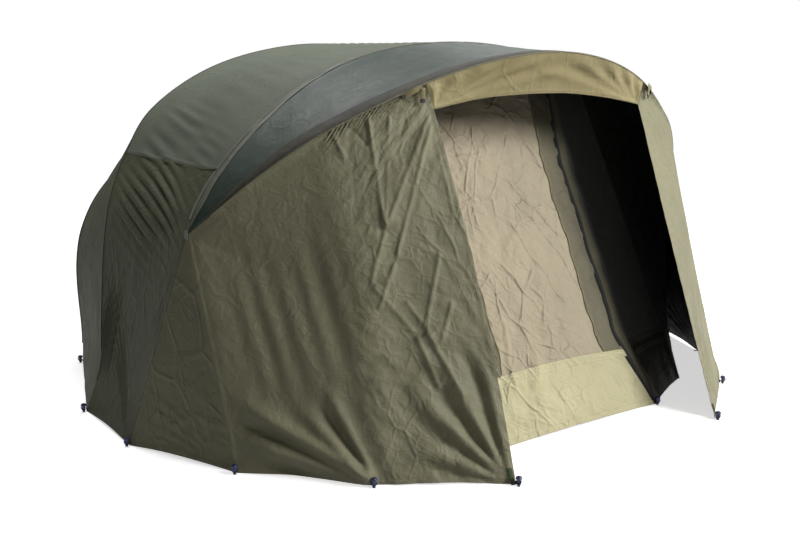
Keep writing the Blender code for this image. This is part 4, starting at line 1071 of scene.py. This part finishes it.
def front_folds(sheet, seen, sign, porch):
    """All folds of a front side. Their places are found on the sheet that the photograph
    shows, and porch is one on the porch's side of the ridge."""
    def there(spot):
        return sided(seen.pixel(*spot) * FLIP, sign)

    total = np.zeros(sheet.x.shape)
    for start, end, width, height in PACK_FOLDS:
        for wide, high, ends, power in ((0.80, 1.10, 0.06, 2.0), (6, 0.9, 0.10, 1.0)):
            total += sheet.fold(there(start), there(end), wide * width, high * height,
                                ends=(ends, ends), power=power)
    for peg, folds in PEG_FOLDS:
        for end, width, height, flare in folds:
            total += sheet.fold(there(peg), there(end), width, 1.6 * height, flare,
                                ends=(0.08, 0.35))
    low = smooth((0.80 - sheet.points[..., 2]) / 0.5) * porch
    total += porch * sheet.creases(0.13, 0.0036, 71 + sign)
    total += (0.25 + 0.75 * porch) * sheet.creases(0.055, 0.0014, 73 + sign, count=8)
    total += low * sheet.creases(0.080, 0.0040, 75 + sign, count=8)
    total += (1 - porch) * sheet.strain(there((300, 250)), there((340, 380)), 0.09, 0.005, 77,
                                        0.3)
    return total + 0.006 * noise(sheet.x * 2.6, sheet.y * 2.2, 79)


def front_sides():
    (left, ridge), (right, _) = (front_side(side, sign) for side, sign in SIDES)
    for (side, sign), sheet in zip(SIDES, (left, right)):
        porch = smooth((sheet.u * (sheet.points.shape[1] - 1) - ridge + 12) / 24)
        total = front_folds(sheet, left, sign, porch)
        sheet.push(total * (1.0 if sign < 0 else RIGHT_SHARE), 0.05)
        gather = np.exp(-sheet.near("t") / 0.035) * smooth((sheet.u - 0.30) / 0.15)
        ruche = np.sin(sheet.x / 0.020 * 2 * math.pi + 2.2 * noise(sheet.x * 30, sheet.y * 8, 81))
        sheet.push(0.0065 * gather * ruche, 0)
        sheet.creased = 0.22 + 0.50 * porch
        bend(sheet.build("porch", "dark"), "front_rib", PORCH_SWING, "wrap_cloth",
             f"wrap_side_front_{side}", f"wrap_porch_{side}")


# Header over the doorway: how far along the rib each fold ends, and its height

HEADER_FOLDS = ((0.03, 0.007), (0.08, -0.007), (0.14, 0.009), (0.20, -0.008), (0.27, 0.010),
                (0.35, -0.008), (0.44, 0.009), (0.55, -0.007), (0.68, 0.007))


def header():
    steps = np.linspace(1, -1, 81)
    half, depth, height = HEADER_END
    low = np.stack([half * steps, np.full(81, depth), height + HEADER_ARCH * (1 - steps ** 2)],
                   axis=1)
    top = FRONT[HEADER_AT:-HEADER_AT]
    side = line([low[0], top[0]], 20)
    sheet = between("header_cloth", (low, top, side, side * FLIP), sewn="tse", step=0.009,
                    banded="bse")
    for sign in (-1, 1):
        corner = sided(HEADER_END, sign)
        for share, height in HEADER_FOLDS:
            end = along_edge(sided(top, sign), [share])[0] - Z_AXIS * 0.035 * share
            sheet.push(sheet.fold(corner, end, 0.008, height, 2.2, ends=(0.12, 0.35)), 0.012)
        sheet.push(sheet.fan(corner, sided(at(0.50, 0.42, 1.40), sign), 0.7, 9, 0.16, 0.0050,
                             93 + sign, start=0.02), 0.012)
    belly = np.sin(math.pi * sheet.u) * np.sin(math.pi * sheet.v)
    sheet.push(-0.006 * belly + 0.003 * noise(sheet.x * 7, sheet.y * 7, 96), 0.09)
    ride(sheet.build("header", "dark", held="hung"), "front_rib", "header_cloth", "wrap_header")
    pipe = sheet.points[0] - Z_AXIS * 0.001
    ride(tube("header_hem", pipe[::2], 0.0030, "header", side=Y_AXIS), "front_rib",
         "header_cloth")


# Back


def back_cloth():
    for sheet, body, law in bay_sheets(WRAP, "back_bay_cloth", ("s", "e"), step=0.016):
        sheet.billow(0.0025, 6, 5, 101, 0.05)
        for sign in (-1, 1):
            sheet.push(sheet.fan(sided(CORNER["side_rear"], sign), sided(at(1.45, 1.9, 0.7), sign),
                                 0.5, 5, 0.5, 0.004, 102 + sign), 0.03)
        nodes = ("wrap_back_bay",) if body == "rear_rib" else ()
        bend(sheet.build("wrap", "dark"), body, law, "wrap_cloth", *nodes)

    sheet = wall_sheet(WRAP, "rear_wall_cloth", step=0.015, banded="se")
    for sign in (-1, 1):
        sheet.push(sheet.fan(sided(CORNER["rear"], sign), sided(at(0.45, 2.6, 0.8), sign), 1.1, 8,
                             0.55, 0.008, 111 + sign), 0.03)
    sheet.push(sheet.creases(0.16, 0.0030, 113), 0.05)
    sheet.billow(0.004, 4, 3, 114, 0.06)
    bend(sheet.build("wrap", "dark"), "back_rib", wall_swing(WRAP), "wrap_cloth",
         "wrap_rear_wall")


# Inner skin and front wall

ZIP_FOOT, ZIP_TOP = at(0.385, 0.420, 0.300), at(0.385, 0.775, 1.000)
ZIP = np.vstack([line([INNER["door"], ZIP_FOOT], 2 * K), line([ZIP_FOOT, ZIP_TOP], 5 * K)[1:],
                 line([ZIP_TOP, SKIN.middle[DOOR_AT]], 3 * K)[1:]])
DOOR_BAND = 0.150  # the share of the door under each edge band
MUD_HEIGHT, MUD_FOOT_HEIGHT = 0.235, 0.030


def door():
    """The door with its edge bands, the pale band at its foot, its seams and its pipings."""
    sheet = between("door_cloth", (hem(INNER["door"], INNER["door"] * FLIP, 60),
                                   SKIN.middle[DOOR_AT:-DOOR_AT], ZIP, ZIP * FLIP),
                    sewn="tse", step=0.0095, banded="")
    sheet.push(sheet.creases(0.16, 0.0060, 121, count=13), 0.03)
    sheet.push(sheet.creases(0.060, 0.0026, 122, count=13), 0.03)
    sheet.push(sheet.strain(at(-0.25, 0.34, 0.25), at(-0.15, 0.80, 1.25), 0.13, 0.006, 123,
                            0.35, slim=5), 0.05)
    sheet.billow(0.010, 2.5, 2.0, 124, 0.10)
    ride(sheet.build("door", "skin", held="hung"), "root", "inner_cloth", "inner_door")

    heights = sheet.points[:, sheet.points.shape[1] // 2, 2]
    top, foot = (np.interp(height, heights, sheet.v[:, 0])
                 for height in (MUD_HEIGHT, MUD_FOOT_HEIGHT))
    for name, u, v, outer, out in (
            ("mud_band", (0.0, 1.0), (0.0, top), "mud", 0.0013),
            ("mud_band_seam", (0.0, 1.0), (top - 0.012, top + 0.008), "mud", 0.0026),
            ("mud_band_foot", (0.0, 1.0), (0.0, foot), "mud", 0.0026),
            ("door_edge_left", (0.0, DOOR_BAND), (top, 0.995), "edge", 0.0017),
            ("door_edge_right", (1 - DOOR_BAND, 1.0), (top, 0.995), "edge", 0.0017)):
        layer = sheet.patch(name, u, v, out, 0.0022, 131)
        ride(layer.build(outer, "dark", "laid", 0.0009), "root", "inner_cloth")
    rise = np.linspace(top + 0.01, 0.985, 160)
    sway = 0.0045 * wander(rise, 22, 133) + 0.0015 * wander(rise, 90, 134)
    for side, share in (("left", DOOR_BAND), ("right", 1 - DOOR_BAND)):
        path = sheet.place(share + sway, rise, 0.0036)
        ride(tube(f"door_piping_{side}", path, 0.0021, "piping", side=Y_AXIS), "root",
             "inner_cloth")


# Layers on a window: shares across and up, cloth and how far each stands off
WINDOW_LAYERS = (("mesh", (0.17, 0.97), (0.155, 0.965), "window", 0.0014),
                 ("zip_edge", (0.0, 0.165), (0.0, 0.990), "frame_edge", 0.0016),
                 ("sill_upper", (0.16, 0.97), (0.152, 0.168), "sill", 0.0026),
                 ("sill_lower", (0.16, 0.97), (0.122, 0.138), "sill", 0.0026),
                 ("ridge_tape", (0.965, 1.0), (0.0, 0.990), "sill", 0.0022))


def wing(side, sign):
    """Beside the door: a dark mesh window in a cloth frame, and the cheek behind it."""
    middle = SKIN.middle
    ridge = line([INNER["ridge"], middle[WINDOW_AT]], 60)
    window = between(f"inner_window_{side}", (hem(INNER["door"], INNER["ridge"]),
                                              middle[WINDOW_AT:DOOR_AT + 1][::-1], ZIP, ridge),
                     sign, sewn="tse", step=0.010, banded="")
    cheek = between(f"inner_cheek_{side}", (hem(INNER["ridge"], INNER["side"]),
                                            middle[:WINDOW_AT + 1][::-1], ridge,
                                            line([INNER["side"], HUB_INNER], 20)),
                    sign, sewn="tse", step=0.013, banded="")
    window.push(window.creases(0.10, 0.0030, 141), 0.03)
    window.billow(0.006, 4, 3, 142, 0.06)
    cheek.push(cheek.creases(0.14, 0.0040, 143), 0.03)
    ride(cheek.build("frame_cloth", "skin"), "root", "inner_cloth")
    ride(window.build("frame_cloth", "skin"), "root", "inner_cloth", f"inner_wing_{side}")
    for name, u, v, outer, out in WINDOW_LAYERS:
        layer = window.patch(f"window_{name}_{side}", u, v, out, 0.0018, 145)
        ride(layer.build(outer, "dark", "laid", 0.0009), "root", "window_cloth")


def zips(side, sign):
    """A waving zip: its tape and its teeth."""
    path = sided(ZIP, sign)
    path = resampled(path, np.linspace(0, lengths(path)[-1] - 0.01, 200))
    out = unit(np.array([0.0, -0.892, 0.452]))
    run = np.linspace(0, 1, 200)
    sway = 0.006 * wander(run, 9, 151) + 0.003 * wander(run, 26, 152)
    path = path + X_AXIS * sway[:, None] * sign + out * 0.0045
    path[:, 2] = np.maximum(path[:, 2], 0.004)
    across = np.cross(out, unit(np.gradient(path, axis=0)))
    width = 0.026 + 0.006 * wander(run, 14, 153)
    ride(tape(f"zip_tape_{side}", path, across, width, 0.0012, "zip", 0.026), "root",
         "inner_cloth")
    ride(strap(f"zip_teeth_{side}", path + out * 0.0012, across, 0.0052, 0.0022, "teeth"), "root",
         "zip_metal")


def slider(side):
    """A slider with its ring and pull, in place of the plain one."""
    node = f"zip_slider_{side}"
    low, high = (np.array(corner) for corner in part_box(node))
    centre = (low + high) / 2
    along = unit(np.array([0.0, 0.4523, 0.8919]))
    out = unit(np.cross(X_AXIS, along))
    half_width, half_length, half_height = 0.0062, 0.0105, 0.0042
    turn = circle(20)[:, None]
    across = X_AXIS * np.cos(turn) * half_width * (1 - 0.25 * np.sin(turn))
    rings = [centre + (across + along * np.sin(turn) * half_length) * grow
             + out * level * 2 * half_height
             for level, grow in ((-0.5, 0.86), (-0.36, 1.0), (0.30, 1.0), (0.46, 0.84), (0.5, 0.5))]
    body = rings_object(f"slider_body_{side}", rings, "teeth", angle=50)
    hang = centre + out * 0.0052 - along * 0.006
    loop = [hang + X_AXIS * 0.0038 * math.sin(turn) + along * (0.0055 * math.cos(turn))
            for turn in circle(16)]
    ring = tube(f"slider_ring_{side}", loop, 0.0008, "teeth", side=out, closed=True)
    pull_path = np.linspace(hang - along * 0.004, hang - along * 0.013 + out * 0.001, 8)
    pull = strap(f"slider_tag_{side}", pull_path, X_AXIS, 0.0065, 0.0016, "tip")
    ride(joined(f"zip_pull_{side}", [body, ring, pull]), node, "zip_metal", node)


def inner_skin():
    step = 0.030
    roof = roof_sheet(SKIN, "inner_roof", step=step, sag=-0.014, banded="")
    bend(roof.build("dark", "skin"), "rear_rib", roof_swing(SKIN), "inner_cloth", "inner_skin")
    for side, sign in SIDES:
        wall = side_sheet(SKIN, f"inner_side_{side}", sign, step=step, sag=-0.020, banded="")
        bend(wall.build("dark", "skin"), "rear_rib", side_swing(SKIN), "inner_cloth")
    for bay, body, law in bay_sheets(SKIN, "inner_bay", ("", ""), step=step, sag=-0.004):
        nodes = ("inner_back",) if body == "rear_rib" else ()
        bend(bay.build("dark", "skin"), body, law, "inner_cloth", *nodes)
    wall = wall_sheet(SKIN, "inner_rear_wall", step=step, sag=-0.010, banded="")
    bend(wall.build("dark", "skin"), "back_rib", wall_swing(SKIN), "inner_cloth")


def groundsheet():
    front = [at(-1.2905, 0.980), at(-0.810, 0.460), at(-0.430, 0.300)]
    rear = [at(-1.2905, 2.150), at(-0.400, 2.560)]
    low, high = (line(half + [point * FLIP for point in half[::-1]], 60)
                 for half in (front, rear))
    sheet = between("groundsheet_cloth", (low, high, line([low[0], high[0]], 20),
                                          line([low[-1], high[-1]], 20)), step=0.045, banded="")
    sheet.points[..., 2] = 0.0016 + 0.0004 * noise(sheet.x * 6, sheet.y * 6, 161)
    sheet.measure()
    ride(sheet.build("sheet", "sheet", "laid", 0.0022), "root", "sheet_cloth", "groundsheet")


# Seams


def beside(points, toward):
    """The way over the cloth from a seam towards other points, and the way out of it."""
    tangent = unit(np.gradient(points, axis=0))
    lean = unit(toward - points)
    lean = unit(lean - tangent * np.sum(lean * tangent, axis=1, keepdims=True))
    out = unit(np.cross(tangent, lean))
    return lean, out * np.sign(np.sum(out * (points - HEART), axis=1))[:, None]


def middle_sleeve():
    """The sleeve over the middle rib: a strap behind it, one before it, and a piping between, dark
    as painted shade along the rib.
    """
    roof = REAR[REAR_AT:-REAR_AT]
    toward = np.vstack([tip(roof[0], SEAM_AT),
                        along_edge(roof, np.linspace(0, 1, len(MIDDLE) - 2 * SEAM_AT)),
                        tip(roof[-1], SEAM_AT)])
    lean, out = beside(MIDDLE, toward)
    run = np.linspace(0, 1, len(MIDDLE))
    rise = 0.0022 + 0.0012 * wander(run, 60, 171)[:, None]
    width = 0.026
    path = MIDDLE + lean * (width / 2 - 0.001) + out * rise
    inside, further = slice(5, -5), slice(3, -3)
    ride(tape("middle_sleeve", path[inside], lean[inside], width, 0.0013, "sleeve"), "root",
         "roof_cloth")
    ahead, face = beside(MIDDLE, FRONT)
    foot = np.minimum(run, 1 - run)
    wide = 0.003 + 0.022 * smooth((0.36 - foot) / 0.25) * smooth(foot / 0.05)
    path = MIDDLE + ahead * (wide / 2)[:, None] + face * rise
    ride(tape("middle_sleeve_front", path[further], ahead[further], wide[further], 0.0013,
              "sleeve", 0.020), "root", "roof_cloth")
    # The piping's dark cloth is painted shade along the sleeve's edge
    ride(tube("middle_piping", (MIDDLE + out * 0.0016)[inside], 0.0022, "shadow"), "root",
         "roof_cloth")


def front_band():
    """The band along the front rib, brownish cloth painted dark as the shade where the roof turns
    down over the rib, and the welt on its edge.
    """
    lean, out = beside(FRONT, MIDDLE)
    run = np.linspace(0, 1, len(FRONT))
    wide = 0.062 * smooth(np.minimum(run, 1 - run) / 0.16) + 0.008
    path = FRONT + lean * (wide / 2)[:, None] + out * 0.0024
    inside = slice(7, -7)
    bend(tape("front_rib_band", path[inside], lean[inside], wide[inside], 0.0013, "shadow",
              0.042), "front_rib", ROOF_SWING, "roof_cloth")
    bend(tube("front_rib_piping", (FRONT + out * 0.0008)[inside], 0.0030, "porch"), "front_rib",
         ROOF_SWING, "wrap_cloth")


def pipings():
    """Pipings over the rear ribs, and along the seams between roof and sides. The rear rib's piping
    is dark as painted shade along that rib.
    """
    for name, path, law, size, material in (
            ("rear", REAR, side_swing(WRAP), 0.0026, "shadow"),
            ("back", BACK, wall_swing(WRAP), 0.0034, "tip")):
        path = path[6:-6] * np.array([1.001, 1, 1.0005])
        bend(tube(f"{name}_rib_piping", path, size, material), f"{name}_rib", law, "roof_cloth")
    side_seam = line([MIDDLE[SEAM_AT], REAR[REAR_AT]], 40)
    for side, sign in SIDES:
        path = sided(resampled(side_seam, np.linspace(0.012, lengths(side_seam)[-1] - 0.012, 90)),
                     sign)
        run = np.linspace(0, 1, len(path))
        path = path + X_AXIS * sign * (0.0035 + 0.0022 * wander(run, 16, 181))[:, None]
        path[:, 2] += 0.004 * wander(run, 11, 182) - 0.006 * np.sin(math.pi * run)
        bend(tube(f"side_seam_piping_{side}", path, 0.0034 + 0.0006 * wander(run, 40, 183),
                  "wrap"), "rear_rib", roof_swing(WRAP), "wrap_cloth")


def hub_patch(side, sign):
    """The sewn patch that holds the cloth to the hub: a square with round corners."""
    centre = sided(HUB, sign) + X_AXIS * sign * 0.0036
    across, up = (np.sign(wave) * np.abs(wave) ** 0.45
                  for wave in (np.cos(circle(28)), np.sin(circle(28))))
    rings = [centre + Y_AXIS * (across * 0.013 * grow)[:, None]
             + Z_AXIS * (up * 0.017 * grow)[:, None] + X_AXIS * sign * level
             for level, grow in ((-0.0012, 1.0), (0.0004, 1.0), (0.0010, 0.9), (0.0006, 0.74),
                                 (0.0010, 0.66))]
    made = rings_object(f"hub_patch_{side}", rings, "sleeve", angle=30)
    ride(made, "root", "wrap_cloth")


# Pegs and ties


def steps_off(origin, outward, steps):
    """Places off an origin, each some way outward and some way up."""
    return np.array([origin + outward * away + Z_AXIS * up for away, up in steps])


STEM = ((0.0, 0.0058), (0.012, 0.0058), (0.015, 0.0066), (0.024, 0.0070), (0.0255, 0.0104),
        (0.0275, 0.0113), (0.0320, 0.0112), (0.0350, 0.0088), (0.0358, 0.0040))
CAP = ((0.0, 0.0062), (0.0007, 0.0060))
HOOK = ((0.004, 0.013), (0.0082, 0.0150), (0.0105, 0.0195), (0.0100, 0.0240))
CORNER_TAB = ((-0.026, 0.0060), (-0.012, 0.0052), (-0.002, 0.0068), (0.001, 0.0105))
TOGGLE = ((0.0, 0.0030), (0.002, 0.0052), (0.008, 0.0060), (0.010, 0.0048), (0.012, 0.0060),
          (0.018, 0.0052), (0.020, 0.0030))


def corner_tab(name, side, sign, foot, away, across):
    """The tab between a corner and its peg: green and upright at the porch's front."""
    width, material = 0.013, "band"
    path = spline(steps_off(foot, away, CORNER_TAB), 6)
    if name == "porch_front":
        width, material = 0.016, "webbing"
        up = unit(sided(HEADER_END, sign) - foot)
        across = unit(sided(CORNER["porch_back"], sign) - foot)
        face = np.cross(up, across)
        face = face * np.sign(face @ (foot - HEART))
        path = np.array([foot + across * 0.012 + up * rise + face * 0.0046
                         for rise in (0.060, 0.040, 0.020, 0.006)])
        path = np.vstack([path, [foot + away * 0.003 + Z_AXIS * 0.011]])
    ride(tape(f"corner_tab_{name}_{side}", path, across, width, 0.0018, material), "root",
         "wrap_cloth")


def peg(name, side, sign):
    """A moulded hook peg, with its corner's webbing tab and elastic loop."""
    node = f"peg_{name}_{side}"
    low, high = (np.array(value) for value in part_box(node))
    centre = (low + high) / 2 * (X_AXIS + Y_AXIS)
    turn = math.radians(PEG_BEARINGS[name])
    away = sided(np.array([math.sin(turn), -math.cos(turn), 0.0]), sign)
    across = np.cross(Z_AXIS, away)
    stem = lathe("stem", centre, Z_AXIS, STEM, "peg", sides=18, angle=35)
    cap = lathe("cap", centre + Z_AXIS * 0.0352, Z_AXIS, CAP, "tip")
    hook = tube("hook", spline(steps_off(centre, away, HOOK), 5), 0.0026, "peg", side=across,
                sides=10)
    ride(joined(f"hook_{node}", [stem, cap, hook]), "root", "peg_plastic", node)
    foot = sided(INNER["door"] if name == "inner_door" else CORNER[name], sign)
    corner_tab(name, side, sign, foot, away, across)
    loop = [centre - away * (0.0035 - 0.0110 * math.cos(turn)) + across * 0.0088 * math.sin(turn)
            + Z_AXIS * (0.0118 - 0.0020 * math.cos(turn)) for turn in circle(22)]
    ride(tube(f"elastic_{name}_{side}", loop, 0.0017, "elastic", side=Z_AXIS, closed=True),
         "root", "peg_plastic")


def ties(side, sign):
    """A knotted strap under the front rib and the tab that hangs from it."""
    node = f"tie_{side}"
    low, high = (np.array(value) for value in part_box(node))
    top = np.array([(low[0] + high[0]) / 2, low[1], high[2] - 0.004])
    out = unit(np.array([0.35 * sign, -0.80, 0.25]))
    level = unit(np.cross(out, Z_AXIS)) * sign * -1
    hang = spline(steps_off(top, out, ((0.001, 0), (0.006, -0.006), (0.006, -0.020),
                                       (0.005, -0.052))), 5)
    tab = strap("tab", hang, level, 0.018, 0.0020, "tie")
    end = strap("end", np.linspace(hang[-3], hang[-1] - Z_AXIS * 0.0005, 4) + out * 0.0002, level,
                0.0188, 0.0030, "tip")
    made = joined(f"tie_strap_{side}", [tab, end])
    ride(made, node, "wrap_cloth", node)
    rib = sided(FRONT, sign)
    other = rib[int(np.argmin(np.linalg.norm(rib - top, axis=1))) - 9]
    bridge = spline([top + out * 0.003 + Z_AXIS * 0.004,
                     (top + other) / 2 + out * 0.010 - Z_AXIS * 0.004,
                     other + out * 0.006 - Z_AXIS * 0.012], 6)
    ride(tape(f"tie_bridge_{side}", bridge, Z_AXIS, 0.017, 0.0018, "tie"), "front_rib",
         "wrap_cloth")
    ride(lathe(f"tie_toggle_{side}", bridge[-1] - level * 0.010, level, TOGGLE, "tip"),
         "front_rib", "peg_plastic")


# Nodes that keep their own shape
NODE_MATERIALS = {"rib": "tube", "leg": "tube", "strut": "tube", "hub_block": "hub",
                  "foot": "hub", "hub_bolt": "bolt"}


def dress_nodes():
    for name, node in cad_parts.items():
        for part, finish in NODE_MATERIALS.items():
            if part in name:
                for slot in node.material_slots:
                    slot.link = "OBJECT"
                    slot.material = M[finish]


# Floor, light and camera

FLOOR_REACH = 30.0
WHITE, WARM = (1.0, 1.0, 1.0), (1.0, 0.94, 0.80)
# Place, size, power, aim and colour of each lamp
LAMPS = {"key": ((2.6, -5.8, 3.8), 2.4, 450.0, (-0.2, -0.6, 0.6), WHITE),
         "top": ((-0.7, 1.5, 5.5), 2.4, 165.0, (0.0, 0.2, 1.0), WHITE),
         "sky": ((3.5, 2.2, 4.8), 3.2, 70.0, (0.0, -0.4, 1.3), WHITE),
         "side": ((4.6, -2.8, 2.2), 1.4, 100.0, (0.7, -1.0, 0.6), WARM),
         "fill": ((-3.0, -7.0, 1.7), 3.0, 20.0, (-0.4, -0.4, 0.5), WHITE)}


def floor():
    """White to the camera, with the tent's shadow, and dim to everything else."""
    paint = Shader("floor_paint", 0.9, specular=0.1)
    rays = paint.node("ShaderNodeLightPath").outputs
    seen = paint.math("MAXIMUM", rays["Is Camera Ray"],
                      paint.math("MAXIMUM", rays["Is Glossy Ray"], rays["Is Transmission Ray"]))
    paint.surface.inputs["Base Color"].default_value = (0.86, 0.86, 0.85, 1)
    away = paint.node("ShaderNodeVectorMath", {0: paint.object_place()},
                      operation="LENGTH").outputs["Value"]
    glow = paint.node("ShaderNodeEmission", {"Strength": paint.ranged(away, 2.0, 7.0, 0.62, 1.0)})
    both = paint.node("ShaderNodeAddShader", {0: paint.surface.outputs[0], 1: glow.outputs[0]})
    dim = paint.node("ShaderNodeBsdfDiffuse", {"Color": (0.26, 0.26, 0.26, 1)})
    chosen = paint.node("ShaderNodeMixShader", {0: seen, 1: dim.outputs[0], 2: both.outputs[0]})
    paint.tree.links.new(chosen.outputs[0], paint.tree.nodes["Material Output"].inputs["Surface"])
    mesh = bpy.data.meshes.new("floor")
    mesh.from_pydata([(x * FLOOR_REACH, y * FLOOR_REACH, 0) for x, y in
                      ((-1, -1), (1, -1), (1, 1), (-1, 1))], [], [(0, 1, 2, 3)])
    mesh.materials.append(paint.material)
    linked("floor", mesh)


def studio():
    """A white background that gives little light, and the lamps."""
    world = bpy.data.worlds.new("studio")
    bpy.context.scene.world = world
    world.use_nodes = True
    tree = world.node_tree
    rays = add_node(tree, "ShaderNodeLightPath").outputs
    seen = add_node(tree, "ShaderNodeMath", {0: rays["Is Camera Ray"],
                                             1: rays["Is Transmission Ray"]},
                    operation="MAXIMUM")
    level = add_node(tree, "ShaderNodeMapRange", {"Value": seen.outputs[0], "To Min": 0.075,
                                                  "To Max": 1.0})
    background = tree.nodes["Background"]
    background.inputs["Color"].default_value = (1, 1, 1, 1)
    tree.links.new(level.outputs["Result"], background.inputs["Strength"])
    for name, (place, size, power, aim, colour) in LAMPS.items():
        data = bpy.data.lights.new(name, "AREA")
        data.energy, data.size, data.color = power, size, colour
        lamp = linked(name, data)
        lamp.location = place
        lamp.rotation_euler = (Vector(aim) - Vector(place)).to_track_quat("-Z", "Y").to_euler()


def camera():
    data = bpy.data.cameras.new("camera")
    data.lens, data.sensor_width, data.clip_end = LENS, SENSOR, 200.0
    made = linked("camera", data)
    made.location, made.rotation_euler = CAMERA_PLACE, CAMERA_TURN
    bpy.context.scene.camera = made
    bpy.context.scene.view_settings.view_transform = "Standard"


front_sides()
roof_front()
roof_rear()
for side_name, side_sign in SIDES:
    side_rear(side_name, side_sign)
    gusset(side_name, side_sign)
header()
back_cloth()
door()
for side_name, side_sign in SIDES:
    wing(side_name, side_sign)
    zips(side_name, side_sign)
    slider(side_name)
    hub_patch(side_name, side_sign)
    ties(side_name, side_sign)
inner_skin()
groundsheet()
middle_sleeve()
front_band()
pipings()
for peg_name in PEG_BEARINGS:
    for side_name, side_sign in SIDES:
        peg(peg_name, side_name, side_sign)
dress_nodes()
floor()
studio()
camera()
